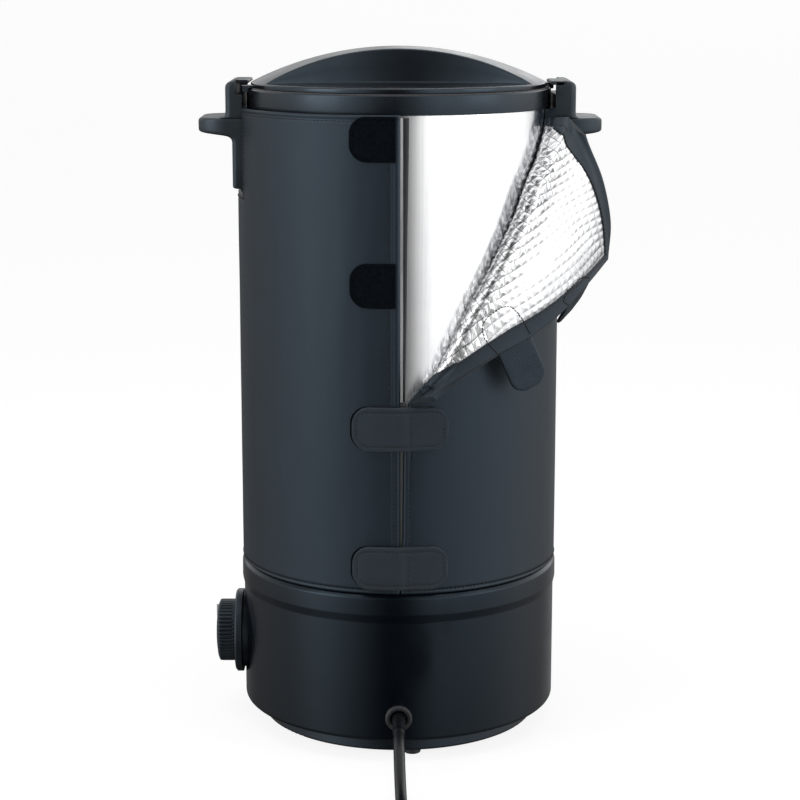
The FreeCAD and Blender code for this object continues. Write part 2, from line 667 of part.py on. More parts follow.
def fold_point(station, radius):
    """A point of the fold line, at a radius; the list gives its arc length round the jacket."""
    arc_length, drawn_z = FOLD_LINE[station]
    angle = arc_length / PANEL_RADIUS
    return Vector(radius * math.sin(angle), -radius * math.cos(angle), panel_height(drawn_z))


def free_corner(station):
    """A corner of the panel's free edge."""
    across, along, drawn_z = FREE_EDGE[station]
    grown = value("jacket_radius") / PANEL_RADIUS
    return Vector(across * grown, along * grown, panel_height(drawn_z))


def make_jacket():
    body = washer("jacket_body", "pot_radius + soft_gap", "jacket_radius", "jacket_low_z", "jacket_high_z")
    doc.recompute()
    before = body.Shape.Volume
    sketch = new_sketch(body, "XZ_Plane")
    top = "jacket_high_z + 5"
    fold = []
    for station in range(0, len(FOLD_LINE), 3):
        corner = fold_point(station, value("jacket_radius"))
        fold.append((str(round(corner.x, 2)), str(round(corner.z, 6))))
    outline(sketch, [("seam_left", "jacket_low_z - 5"), ("seam_right", "jacket_low_z - 5"),
                     ("seam_right", "opening_low_z"), *fold, ("jacket_radius - 10", top), ("seam_left", top)])
    opening = body.newObject("PartDesign::Pocket", "Opening")
    opening.Profile = sketch
    opening.Reversed = True
    opening.setExpression("Length", bound("jacket_radius + 10"))
    doc.recompute()
    if body.Shape.Volume >= before - 1000:
        raise RuntimeError("the jacket's opening removed too little")
    half = "handle_width / 2 + notch_side"
    notch = block("2 * jacket_radius + 20", f"2 * ({half})", "80",
                  ("0 - jacket_radius - 10", f"0 - ({half})", "leg_low_z - notch_side"))
    tap_slot = block("2 * tap_notch", "jacket_radius + 10", "tap_z - jacket_low_z + 5",
                     ("0 - tap_notch", "0", "jacket_low_z - 5"))
    tap_arch = rod("tap_notch", "jacket_radius + 10", ("0", "0", "tap_z"), TAP_WAY)
    keep(cut(body, notch, tap_slot, tap_arch), "jacket_body")


def make_flap():
    """The folded-back panel, a curved slab from the fold line to its free edge."""
    half = value("flap_thick") / 2
    fold_radius = value("jacket_radius + soft_gap") + half
    rings = []
    for station in range(len(FOLD_LINE)):
        start = fold_point(station, fold_radius)
        stop = free_corner(station)
        inner, outer = [], []
        for share in (0.0, 0.33, 0.67, 1.0):
            flat = start + (stop - start) * share
            first_radius, last_radius = math.hypot(start.x, start.y), math.hypot(stop.x, stop.y)
            radius = first_radius + (last_radius - first_radius) * share ** 1.4
            away = Vector(flat.x, flat.y, 0).normalize()
            inner.append(away * (radius - half) + Vector(0, 0, flat.z))
            outer.append(away * (radius + half) + Vector(0, 0, flat.z))
        rings.append(inner + outer[::-1])
    made(faceted(rings), "jacket_flap")


def curved_patch(label, left, right, middle, height, inner, outer, round_left=True, round_right=True):
    """A rounded strap bent round the jacket at the back, between two radii."""
    pad = extruded(label, "XY_Plane", [
        (left, "0 - jacket_radius - 20"), (right, "0 - jacket_radius - 20"),
        (right, "0 - jacket_radius / 2"), (left, "0 - jacket_radius / 2")], height)
    half = f"({height}) / 2"
    for wanted, side in ((round_left, left), (round_right, right)):
        if wanted:
            for sign in (-1, 1):
                rounded(pad, "tab_round", post_at(side, f"{sign} * {half}"))
    place(pad, ("0", "0", middle))
    ring = washer(label + " ring", inner, outer, f"({middle}) - ({height})", f"({middle}) + ({height})")
    return common(pad, ring)


def make_tabs():
    patch_inner = "jacket_radius + slip"
    patch_outer = f"{patch_inner} + patch_thick"
    patches = [
        curved_patch("patch", "patch_left", "patch_right", f"tab_top_z - {number} * tab_pitch",
                     "tab_height", patch_inner, patch_outer, round_right=False)
        for number in range(4)]
    keep(group(*patches), "loop_patches")
    for number, sewn in ((3, "7.1"), (4, "5.1")):
        middle = f"tab_top_z - {number - 1} * tab_pitch"
        base = curved_patch(f"tab base {number}", f"{sewn} + 0.2", "tab_right", middle, "tab_height",
                            "jacket_radius + slip", "jacket_radius + slip + tab_thick", round_left=False)
        keep(base, f"closure_tab_{number}_base")
        lift = f"{patch_outer} + soft_gap"
        end = curved_patch(f"tab end {number}", "tab_left", f"{sewn} - 0.2", middle, "tab_height",
                           lift, f"{lift} + tab_thick", round_right=False)
        keep(end, f"closure_tab_{number}_end")
    for number, first, last, reach, clear in OPEN_TABS:
        make_open_tab(f"closure_tab_{number}", first, last, Vector(*reach), clear)


def edge_point(station):
    """A point of the panel's free edge; whole stations are its corners."""
    index = min(int(station), len(FREE_EDGE) - 2)
    start, stop = free_corner(index), free_corner(index + 1)
    return start + (stop - start) * (station - index)


def make_open_tab(label, first, last, reach, clear):
    """The free half of an open tab, hanging off the panel's edge, its end corners cut."""
    start, stop = edge_point(first), edge_point(last)
    along = (stop - start).normalize()
    away = (reach - along * reach.dot(along)).normalize()
    row = (edge_point(first) - fold_point(int(first), value("jacket_radius"))).normalize()
    off_edge = (row - along * row.dot(along)).normalize() * clear
    width = (stop - start).Length
    corner = min(value("tab_round"), width / 3)
    long = reach.Length
    plan = [(0, 0), (width, 0), (width, long - corner), (width - corner / 3, long - corner / 3),
            (width - corner, long), (corner, long), (corner / 3, long - corner / 3), (0, long - corner)]
    points = [start + off_edge + along * across + away * out for across, out in plan]
    shift = along.cross(away) * (value("tab_thick") / 2)
    rings = [[point - shift for point in points], [point + shift for point in points]]
    made(faceted(rings), label)


# ----------------------------------------------------------------------------- base
def make_base_shell():
    inner = "base_radius - base_wall"
    neck = "pot_radius + soft_gap"
    body = turned("base_shell", [
        ("lip_radius", "base_low_z"), ("base_radius", "base_low_z"), ("base_radius", "bead_low_z"),
        ("bead_radius", "bead_low_z + 6"), ("bead_radius", "base_high_z - 5"),
        ("bead_radius - 3", "base_high_z"), (neck, "base_high_z"), (neck, "base_high_z - base_wall"),
        (inner, "base_high_z - base_wall"), (inner, "base_low_z + base_wall"),
        ("lip_radius", "base_low_z + base_wall")])
    rounded(body, "2.5", hoop_at("base_radius", "base_low_z"))
    rounded(body, "5", hoop_at("base_radius", "bead_low_z"))
    rounded(body, "5", hoop_at("bead_radius", "bead_low_z + 6"))
    rounded(body, "3", hoop_at("bead_radius", "base_high_z - 5"))
    inlet = rod("grommet_neck + slip", "40", ("0", "0 - base_radius + 20", "inlet_z"), CORD_WAY)
    bush = rod("bush_radius + slip", "40", ("0 - base_radius + 20", "0", "knob_z"), KNOB_WAY)
    keep(cut(body, inlet, bush), "base_shell")


def make_base_plate():
    """The dish under the shell, with holes for feet and screws and six vents."""
    inner = "ring_radius - dish_thick"
    top = "ring_low_z + dish_thick"
    body = turned("base_plate", [
        ("0", "ring_low_z"), ("ring_radius", "ring_low_z"), ("ring_radius", "base_low_z"),
        (inner, "base_low_z"), (inner, top), ("0", top)])
    rounded(body, "2", hoop_at("ring_radius", "ring_low_z"))
    holes = []
    for angle in FOOT_ANGLES:
        holes.append(rod("foot_stem + slip", "10", around("foot_circle", angle, "0")))
    for angle in POST_ANGLES:
        holes.append(rod("base_screw_radius + slip", "10", around("post_circle", angle, "0")))
    for angle in VENT_ANGLES:
        holes.append(block("26", "5", "10", around("34", angle, "0"), Rotation(Vector(0, 0, 1), angle)))
    keep(cut(body, *holes), "base_plate")


def make_feet():
    feet = []
    for angle in FOOT_ANGLES:
        top = "ring_low_z + dish_thick"
        pad = rod("foot_radius", "ring_low_z", around("foot_circle", angle, "0"))
        stem = rod("foot_stem", f"{top} + 0.1", around("foot_circle", angle, "0"))
        barb = rod("foot_stem + 0.8", "1.5", around("foot_circle", angle, f"{top} + 0.05"))
        feet.append(fuse(pad, stem, barb))
    keep(group(*feet), "rubber_feet")


def make_posts():
    """Standoffs from the dish up to the pot, with a shoulder that carries the heat shield."""
    floor = "ring_low_z + dish_thick"
    posts, screws = [], []
    for angle in POST_ANGLES:
        centre = "post_circle"
        foot = rod("post_radius", f"shield_z - ({floor})", around(centre, angle, floor))
        neck = rod("post_neck", f"pot_floor_z - ({floor})", around(centre, angle, floor))
        tapped = rod("base_screw_radius + slip", "14", around(centre, angle, f"({floor}) - 1"))
        posts.append(cut(fuse(foot, neck), tapped))
        head = rod("3.6", "2.4", around(centre, angle, "ring_low_z - 2.4"))
        shank = rod("base_screw_radius", "12", around(centre, angle, "ring_low_z - 0.1"))
        screws.append(fuse(head, shank))
    keep(group(*posts), "base_standoffs")
    keep(group(*screws), "base_screws")

    holes = []
    for angle in POST_ANGLES:
        holes.append(rod("post_neck + slip", "10", around("post_circle", angle, "shield_z - 5")))
    holes.append(block("40", "50", "10", ("0 - shield_radius - 10", "-25", "shield_z - 5")))
    for side in (-1, 1):
        holes.append(rod("4", "10", ("0 - element_circle + 2", f"{side} * 17.5", "shield_z - 5")))
    keep(cut(rod("shield_radius", "1", ("0", "0", "shield_z")), *holes), "heat_shield")


# ----------------------------------------------------------------------------- heater
def make_heater():
    low = "pot_floor_z - heater_thick"
    plate = rod("heater_radius", "heater_thick", ("0", "0", low))
    groove_sizes = {"Radius1": "element_circle", "Radius2": "element_radius + slip"}
    groove = primitive("Torus", groove_sizes, ("0", "0", low))
    keep(cut(plate, groove), "heater_plate")

    ring = primitive("Torus", {"Radius1": "element_circle", "Radius2": "element_radius",
                               "Angle3": "element_sweep"}, ("0", "0", low))
    start = 180 + (360 - value("element_sweep")) / 2
    ring.Placement = Placement(Vector(0, 0, value(low)), Rotation(Vector(0, 0, 1), start))
    ring.setExpression("Placement.Base.z", bound(low))
    pins = []
    for side in (-1, 1):
        angle = f"180 + {side} * (360 - element_sweep) / 2"
        pins.append(ball("element_radius", around("element_circle", angle, low)))
        pins.append(rod("2.6", "16", around("element_circle", angle, f"{low} - 16")))
    keep(fuse(ring, *pins), "heating_element")

    bar_top = f"{low} - element_radius - slip"
    bar = block("clamp_width", "clamp_length", "clamp_thick",
                ("0 - clamp_width / 2", "0 - clamp_length / 2", f"{bar_top} - clamp_thick"))
    hole = rod("stud_radius + slip", "10", ("0", "0", f"{bar_top} - 6"))
    keep(cut(bar, hole), "heater_clamp")
    keep(rod("stud_radius", "14", ("0", "0", f"{low} - 14")), "clamp_stud")
    nut = hexagon("10", "4", ("0", "0", f"{bar_top} - clamp_thick - 4"))
    thread = rod("stud_radius + run", "10", ("0", "0", f"{bar_top} - clamp_thick - 7"))
    keep(cut(nut, thread), "clamp_nut")

    cap = rod("8", "6", ("36", "22", f"{low} - 6"))
    rim = rod("11", "1.2", ("36", "22", f"{low} - 1.2"))
    blades = [block("0.8", "6.3", "9", (f"36 + {offset}", "18.85", f"{low} - 15")) for offset in (-4.4, 3.6)]
    keep(fuse(cap, rim, *blades), "thermal_cutout")


# ----------------------------------------------------------------------------- thermostat and knob
def make_control():
    axis = ("0", "0", "knob_z")
    inner_wall = "base_radius - base_wall"
    case = block("stat_depth", "stat_width", "30", ("0 - stat_front", "0 - stat_width / 2", "knob_z - 15"))
    collar = cut(rod("9", f"{inner_wall} - stat_front + 2", ("0 - stat_front", "0", "knob_z"), KNOB_WAY),
                 cut(rod("base_radius + 20", "60", ("0", "0", "knob_z - 30")),
                     rod(f"{inner_wall} - 2 * slip", "60", ("0", "0", "knob_z - 30"))))
    bush = rod("bush_radius", "bush_front - stat_front", ("0 - stat_front", "0", "knob_z"), KNOB_WAY)
    blades = []
    for side in (-1, 1):
        for up in (-9, 9):
            at = ("0 - stat_front + stat_depth", f"{side} * 9 - 3.15", f"knob_z + {up}")
            blades.append(block("9", "6.3", "0.8", at))
    shaft_hole = rod("shaft_radius + run", "60", ("0 - stat_front + 16", "0", "knob_z"), KNOB_WAY)
    keep(cut(fuse(case, collar, bush, *blades), shaft_hole), "thermostat_body")

    start = "stat_front - 15"
    round_shaft = rod("shaft_radius", f"shaft_front - ({start})", (f"0 - ({start})", "0", "knob_z"), KNOB_WAY)
    flat = block("20", "10", "3", ("0 - shaft_front - 10", "-5", "knob_z + 2"))
    keep(cut(round_shaft, flat), "thermostat_shaft")

    nut = hexagon("13", "bush_front - bezel_front - 0.2", ("0 - bezel_front", "0", "knob_z"), KNOB_WAY)
    thread = rod("bush_radius + run", "12", ("0 - bezel_front + 5", "0", "knob_z"), KNOB_WAY)
    keep(cut(nut, thread), "thermostat_nut")

    rim = turned("bezel rim", [
        ("0", "bezel_back"), ("bezel_radius", "bezel_back"), ("bezel_radius", "bezel_front"),
        ("0", "bezel_front")], axis, KNOB_WAY)
    boss = rod("bezel_boss", "12", ("0 - bezel_back + 11", "0", "knob_z"), KNOB_WAY)
    shell_room = rod("base_radius + slip", "90", ("0", "0", "knob_z - 45"))
    bore = rod("bush_radius + slip", "40", ("0 - bezel_back + 20", "0", "knob_z"), KNOB_WAY)
    lens_at = ("0 - bezel_back + 10", "0", "knob_z + lens_circle")
    lens_hole = rod("lens_radius + slip", "30", lens_at, KNOB_WAY)
    keep(cut(fuse(rim, boss), shell_room, bore, lens_hole), "knob_bezel")
    keep(rod("lens_radius", "bezel_front - bezel_back + 0.6",
             ("0 - bezel_back", "0", "knob_z + lens_circle"), KNOB_WAY), "pilot_lens")
    make_knob(axis)


def make_knob(axis):
    """A domed knob with fine grip grooves, hollow at the back over the nut, with a D bore."""
    rise = "(knob_front - knob_shoulder)"
    crown = f"((knob_radius ^ 2 + {rise} ^ 2) / (2 * {rise}))"
    body = turned("control_knob", [
        ("0", "knob_back"), ("knob_radius", "knob_back"), ("knob_radius", "knob_shoulder"),
        ("0", "knob_front", crown)], axis, KNOB_WAY)
    groove_sketch = new_sketch(body, "XY_Plane")
    circle(groove_sketch, "knob_radius + 0.35", "0", "0.9")
    doc.recompute()
    before = body.Shape.Volume
    groove = body.newObject("PartDesign::Pocket", "Groove")
    groove.Profile = groove_sketch
    groove.Reversed = True
    groove.setExpression("Length", bound("knob_front + 5"))
    ribs = body.newObject("PartDesign::PolarPattern", "Ribs")
    ribs.Originals = [groove]
    ribs.Axis = (groove_sketch, ["N_Axis"])
    ribs.Angle = 360
    ribs.setExpression("Occurrences", bound("knob_ribs"))
    body.Tip = ribs
    doc.recompute()
    if body.Shape.Volume >= before - 100:
        raise RuntimeError("the knob's grooves removed too little")
    nut_room = rod("10", "3.2", ("0 - knob_back", "0", "knob_z"), KNOB_WAY)
    back = ("0 - knob_back", "0", "knob_z")
    bore = rod("shaft_radius + run", "shaft_front - knob_back + 0.3", back, KNOB_WAY)
    flat = block("20", "10", "3", ("0 - shaft_front - 10", "-5", "knob_z + 2 + run"))
    mark = block("3", "1.6", "9", ("0 - knob_front - 1.9", "-0.8", "knob_z + 11"))
    keep(cut(body, nut_room, cut(bore, flat), mark), "control_knob")


# ----------------------------------------------------------------------------- mains inlet and cord
def make_inlet():
    body = turned("cord_grommet", [
        ("cord_radius + run", "base_radius - 5"), ("grommet_neck + 1.4", "base_radius - 5"),
        ("grommet_neck + 1.4", "base_radius - base_wall - 0.6"),
        ("grommet_neck", "base_radius - base_wall - 0.6"), ("grommet_neck", "base_radius + slip"),
        ("grommet_radius", "base_radius + slip"), ("grommet_radius", "base_radius + grommet_proud - 1.6"),
        ("grommet_radius - 2", "base_radius + grommet_proud"),
        ("cord_radius + run", "base_radius + grommet_proud")],
        ("0", "0", "inlet_z"), CORD_WAY)
    keep(body, "cord_grommet")
    inner_end = "70"
    keep(rod("cord_radius", f"base_radius + grommet_proud - {inner_end}",
             ("0", f"0 - {inner_end}", "inlet_z"), CORD_WAY), "cord_inner_end")
    floor = "ring_low_z + dish_thick"
    post = block("18", "10", f"inlet_z + 9 - ({floor})", ("-9", "-88", floor))
    grip = rod("cord_radius + run", "20", ("0", "-73", "inlet_z"), CORD_WAY)
    screw_hole = rod("1.6", "6", ("-6.6", "-83", "inlet_z + 5"))
    keep(cut(post, grip, screw_hole), "cord_clamp")
    housing = block("46", "20", "16", ("-2", "-56", floor))
    pits = [rod("2.5", "6", (f"8 + {pitch}", "-46", f"{floor} + 11")) for pitch in (0, 13, 26)]
    keep(cut(housing, *pits), "terminal_block")


def make_wiring():
    """Leads between cord, terminal block, thermostat and element, and the thermostat's bulb."""
    stat_x = 0 - value("stat_front")
    leads = [
        [(-1.6, -69.5, 34.0), (-1.0, -60.0, 32.5), (4.0, -53.0, 30.0), (8.0, -50.0, 23.4)],
        [(1.6, -69.5, 34.0), (6.0, -61.0, 33.0), (16.0, -54.0, 30.0), (21.0, -50.0, 23.4)],
        [(-3.6, -46.0, 14.0), (-26.0, -42.0, 16.0), (-50.0, -28.0, 30.0), (stat_x + 44.6, -14.0, 46.0),
         (stat_x + 32.6, -9.0, 53.6)],
        [(stat_x + 32.6, 9.0, 53.6), (stat_x + 44.6, 13.0, 50.0), (-56.5, 16.0, 60.0), (-57.4, 17.5, 77.6)],
        [(34.0, -45.0, 23.4), (30.0, -34.0, 40.0), (0.0, -26.0, 56.0), (-34.0, -21.0, 60.0),
         (-57.4, -17.5, 66.0), (-57.4, -17.5, 77.6)],
    ]
    shapes = [tube(points, 1.2, f"lead {number}") for number, points in enumerate(leads, start=1)]
    made(Part.makeCompound(shapes), "internal_wires")
    low = value("pot_floor_z - heater_thick")
    bulb_radius = 2.6
    bulb = Part.makeCylinder(bulb_radius, 60, Vector(-30, -30, low - bulb_radius - 0.1), Vector(0, 1, 0))
    capillary = [(-30.0, 30.2, low - 2.7), (-30.0, 38.0, low - 2.7), (-32.0, 49.0, low - 7.6),
                 (-46.0, 60.0, 83.0), (-72.0, 52.0, 83.0), (stat_x + 18.6, 30.0, 85.0),
                 (stat_x + 13.6, 14.0, 88.0), (stat_x + 13.6, 14.0, 78.3)]
    line = tube(capillary, 0.9, "capillary")
    made(Part.makeCompound([bulb, line]), "sensor_bulb")


def make_cord():
    radius = value("cord_radius")
    made(tube(CORD_ROUTE, radius, "power_cord"), "power_cord")
    made(tube(CORD_TAIL_ROUTE, radius, "cord_tail"), "cord_tail")
    coil = washer("cord_coil", "coil_hole", "coil_radius", "0", "coil_height", ("coil_x", "coil_y", "0"))
    keep(coil, "cord_coil")
    # The plug: a round two-pole body with a flat face, lying on its side.
    start = Vector(*PLUG_START)
    way = Vector(1, 0, 0)
    relief = Part.makeCone(radius + 1.2, radius + 4.5, 22, start + way * 0.1, way)
    body = Part.makeCylinder(14, 26, start + way * 22, way)
    face = Part.makeCylinder(13, 4, start + way * 48, way)
    flats = [Part.makeBox(40, 40, 6, start + Vector(20, -20, side)) for side in (10.5, -16.5)]
    made(relief.fuse([body, face]).cut(Part.makeCompound(flats)).removeSplitter(), "plug_body")
    pins = [Part.makeCylinder(2.4, 19, start + Vector(52.05, side, 0), way) for side in (-9.5, 9.5)]
    made(Part.makeCompound(pins), "plug_pins")


# ----------------------------------------------------------------------------- tap
def make_tap():
    axis = ("0", "0", "tap_z")
    wall_in, wall_out = "pot_radius - pot_wall", "pot_radius"
    tap_inner = "pot_radius - 11"
    shank = rod("shank_radius", f"flange_start + 1 - ({tap_inner})", ("0", tap_inner, "tap_z"), TAP_WAY)
    flange = hexagon("flange_radius * 2 - 3", "7", ("0", "flange_start", "tap_z"), TAP_WAY)
    barrel = rod("barrel_radius", "barrel_end - flange_start", ("0", "flange_start", "tap_z"), TAP_WAY)
    bonnet = rod("7.5", "22", ("0", "ball_y", "tap_z"))
    way = rod("bore_radius", "barrel_end - pot_radius + 19", ("0", "pot_radius - 14", "tap_z"), TAP_WAY)
    socket = rod("spout_radius + run", "12", ("0", "barrel_end - 10", "tap_z"), TAP_WAY)
    cavity = ball("ball_radius + slip", ("0", "ball_y", "tap_z"))
    gland = rod("3 + run", "30", ("0", "ball_y", "tap_z"))
    keep(cut(fuse(shank, flange, barrel, bonnet), way, socket, cavity, gland), "tap_body")

    sphere = ball("ball_radius", ("0", "ball_y", "tap_z"))
    port = rod("bore_radius", "30", ("-15", "ball_y", "tap_z"), OUTWARD)
    stem = rod("3", "lever_z + lever_thick + 6 - tap_z", ("0", "ball_y", "tap_z"))
    keep(cut(fuse(sphere, stem), port), "tap_ball")

    arm = block("lever_length", "lever_width", "lever_thick", ("0", "ball_y - lever_width / 2", "lever_z"))
    eye = rod("lever_width / 2", "lever_thick", ("0", "ball_y", "lever_z"))
    hole = rod("3 + slip", "10", ("0", "ball_y", "lever_z - 2"))
    keep(cut(fuse(arm, eye), hole), "tap_lever")
    sleeve = block("40", "lever_width + 3", "lever_thick + 3",
                   ("lever_length - 37", "ball_y - lever_width / 2 - 1.5", "lever_z - 1.5"))
    slit = block("37.1", "lever_width + 0.1", "lever_thick + 0.1",
                 ("lever_length - 37.05", "ball_y - lever_width / 2 - 0.05", "lever_z - 0.05"))
    keep(cut(sleeve, slit), "lever_grip")
    nut = hexagon("10", "4", ("0", "ball_y", "lever_z + lever_thick"))
    keep(cut(nut, rod("3 + run", "10", ("0", "ball_y", "lever_z"))), "lever_nut")

    outside = rod("pot_radius + slip", "60", ("0", "0", "tap_z - 30"))
    inside = rod(f"{wall_in} - slip", "60", ("0", "0", "tap_z - 30"))
    outer = cut(washer("outer washer", "shank_radius + slip", "washer_radius", "pot_radius - 4",
                       "flange_start", axis, TAP_WAY), outside)
    inner = common(washer("inner washer", "shank_radius + slip", "washer_radius", "pot_radius - 6",
                          wall_out, axis, TAP_WAY), inside)
    keep(group(outer, inner), "tap_washers")
    nut = hexagon("27", "4.5", ("0", "pot_radius - 10.5", "tap_z"), TAP_WAY)
    thread = rod("shank_radius + run", "20", ("0", "pot_radius - 20", "tap_z"), TAP_WAY)
    keep(cut(nut, thread), "tap_nut")
    make_spout()


def make_spout():
    """A plain pipe that leaves the barrel, bends down a quarter turn and ends square."""
    start = "barrel_end - 9"
    bend_y = "barrel_end + 6"
    outlet_z = "tap_z - spout_bend - spout_drop"
    solids = []
    for radius in ("spout_radius", "bore_radius"):
        level = rod(radius, f"{bend_y} - ({start})", ("0", start, "tap_z"), TAP_WAY)
        elbow = primitive("Torus", {"Radius1": "spout_bend", "Radius2": radius, "Angle3": "90"},
                          ("0", bend_y, "tap_z - spout_bend"), Rotation(Vector(0, 1, 0), -90))
        drop = rod(radius, "spout_drop", ("0", f"{bend_y} + spout_bend", outlet_z))
        solids.append(fuse(level, elbow, drop))
    keep(cut(*solids), "tap_spout")


# ----------------------------------------------------------------------------- build and export
make_pot()
make_collar()
make_lid()
make_handle("handle_right", 1)
make_handle("handle_left", -1)
make_handle_screws()
make_jacket()
make_flap()
make_tabs()
make_base_shell()
make_base_plate()
make_feet()
make_posts()
make_heater()
make_control()
make_inlet()
make_wiring()
make_cord()
make_tap()
doc.recompute()

failed = [item.Name + " " + item.Label for item in doc.Objects if {"Invalid", "Error"} & set(item.State)]
for piece in nodes:
    if piece.Shape.isNull() or not piece.Shape.isValid() or not piece.Shape.Solids:
        failed.append(piece.Label)
if failed:
    raise RuntimeError("not built: " + ", ".join(failed))

os.makedirs("parts", exist_ok=True)
for piece in nodes:
    piece.Shape.exportStep(os.path.join("parts", piece.Label + ".step"))
    box = piece.Shape.BoundBox
    print(f"{piece.Label}: {len(piece.Shape.Solids)} solid(s), {piece.Shape.Volume / 1000:.2f} cm3, "
          f"z {box.ZMin:.1f} to {box.ZMax:.1f}")
print(len(nodes), "nodes")
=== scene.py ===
"""Looks of the candle wax melter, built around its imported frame.

Lengths are in millimetres, and MM turns them into metres where a mesh, a curve or a matrix is handed over.
"""

import math

import bmesh
import bpy
import numpy as np
from mathutils import Matrix, Vector, noise


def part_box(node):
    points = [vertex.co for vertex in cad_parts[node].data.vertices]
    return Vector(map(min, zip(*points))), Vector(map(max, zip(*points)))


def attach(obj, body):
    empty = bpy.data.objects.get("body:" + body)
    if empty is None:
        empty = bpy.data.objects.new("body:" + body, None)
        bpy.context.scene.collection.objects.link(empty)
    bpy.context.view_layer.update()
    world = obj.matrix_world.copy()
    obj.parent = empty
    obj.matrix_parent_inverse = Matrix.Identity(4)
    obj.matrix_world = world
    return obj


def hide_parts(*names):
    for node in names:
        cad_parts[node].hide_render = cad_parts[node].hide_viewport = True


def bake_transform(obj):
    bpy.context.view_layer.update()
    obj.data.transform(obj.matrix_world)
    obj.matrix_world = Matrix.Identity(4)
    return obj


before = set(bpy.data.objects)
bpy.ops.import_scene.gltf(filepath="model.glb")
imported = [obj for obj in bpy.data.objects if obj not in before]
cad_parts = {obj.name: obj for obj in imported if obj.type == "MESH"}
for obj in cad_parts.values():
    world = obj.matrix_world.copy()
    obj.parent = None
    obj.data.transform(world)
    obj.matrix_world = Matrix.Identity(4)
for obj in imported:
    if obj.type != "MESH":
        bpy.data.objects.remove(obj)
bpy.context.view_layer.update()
MM = 0.001

# ------------------------------------------------------------------------------- sizes shared with the part
POT_RADIUS = 109.0
POT_WALL = 1.0
POT_FOOT = 104.0
POT_RIM = 470.5
COLLAR_LOW = 461.0
COLLAR_RADIUS = 110.5
JACKET_RADIUS = 118.0
JACKET_LOW = 125.8
JACKET_HIGH = 460.6
SEAM_LEFT = 1.2
SEAM_RIGHT = 5.2
OPENING_LOW = 262.0
NOTCH_LOW = 402.0
HANDLE_HALF = 32.5
TAP_Z = 150.0
TAP_NOTCH = 23.0
HANDLE_NOTCHES = ((73.25, 106.75), (253.25, 286.75))
TAP_SPAN = (168.76, 191.24)
KNOB_Z = 63.0
INLET_Z = 34.0
CORD_RADIUS = 4.0
COIL_CENTRE = (49.0, -306.0)
PLUG_FOOT = (183.2, -360.0, 10.5)
TAB_HEIGHT = 31.0
TAB_CORNER = 12.0
TAB_LEFT = -32.2
TAB_RIGHT = 34.6
TAB_ROWS = {1: 445.5, 2: 345.5, 3: 245.5, 4: 145.5}
CORD_ROUTE = [(0, -119.5, 34), (0, -146, 34), (0.6, -173, 18.6), (1.6, -200, 5.6), (2.6, -226, 4.2),
              (3.0, -252, 4), (3.0, -278.2, 4)]
CORD_TAIL_ROUTE = [(76.8, -352, 12), (98, -352, 9.6), (120, -353.4, 5.6), (142, -357, 6.6),
                   (163, -360, 10.5), (183, -360, 10.5)]
FOLD_LINE = [(12, 268), (26.5, 287), (37, 306), (51.5, 330), (67, 353), (88.5, 384), (104, 408),
             (119.5, 426), (135, 444), (146.5, 455)]
FREE_EDGE = [(21, -124, 272), (43.5, -119, 285), (68, -110, 298), (89, -98, 307), (110, -82, 320),
             (131, -58, 337), (149.4, -26, 352), (151, -25, 380), (143.6, -29, 412), (129, -36, 442)]
EDGE_CORNER = 6
LAST_PLACE = 9


# ------------------------------------------------------------------------------- mesh tools
def mesh_object(name, points, faces, sharp=40.0):
    """A mesh piece from points in millimetres, smooth except at edges sharper than the given angle."""
    mesh = bpy.data.meshes.new(name)
    mesh.from_pydata([(p[0] * MM, p[1] * MM, p[2] * MM) for p in points], [], [tuple(f) for f in faces])
    work = bmesh.new()
    work.from_mesh(mesh)
    bmesh.ops.remove_doubles(work, verts=work.verts, dist=1e-6)
    loose = [v for v in work.verts if not v.link_faces]
    bmesh.ops.delete(work, geom=loose, context="VERTS")
    bmesh.ops.recalc_face_normals(work, faces=work.faces)
    work.to_mesh(mesh)
    work.free()
    mesh.shade_smooth()
    mesh.set_sharp_from_angle(angle=math.radians(sharp))
    piece = bpy.data.objects.new(name, mesh)
    bpy.context.scene.collection.objects.link(piece)
    return piece


def joined(name, *parts):
    """One piece made of several, so that what is one part of the object is one piece."""
    for other in bpy.context.selected_objects:
        other.select_set(False)
    for part in parts:
        part.select_set(True)
    bpy.context.view_layer.objects.active = parts[0]
    bpy.ops.object.join()
    piece = bpy.context.view_layer.objects.active
    piece.name = name
    piece.data.name = name
    piece.select_set(False)
    return piece


def finished(piece, body, paint, slot, *nodes):
    """Gives a piece its material, its body and the nodes that it stands for."""
    piece.data.materials.clear()
    piece.data.materials.append(paint)
    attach(piece, body)
    if nodes:
        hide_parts(*nodes)
    return piece


def soften(corners, steps=5):
    """A closed outline of (across, up, radius) corners, with its round corners drawn as arcs."""
    points = []
    count = len(corners)
    for index, corner in enumerate(corners):
        here = Vector(corner[:2])
        radius = corner[2] if len(corner) > 2 else 0.0
        if radius <= 0:
            points.append(here)
            continue
        back = (Vector(corners[index - 1][:2]) - here).normalized()
        ahead = (Vector(corners[(index + 1) % count][:2]) - here).normalized()
        half = back.angle(ahead) / 2
        centre = here + (back + ahead).normalized() * (radius / math.sin(half))
        start = here + back * (radius / math.tan(half)) - centre
        stop = here + ahead * (radius / math.tan(half)) - centre
        sweep = math.atan2(start.x * stop.y - start.y * stop.x, start.dot(stop))
        for step in range(steps + 1):
            turn = sweep * step / steps
            points.append(centre + Vector((start.x * math.cos(turn) - start.y * math.sin(turn),
                                           start.x * math.sin(turn) + start.y * math.cos(turn))))
    return points


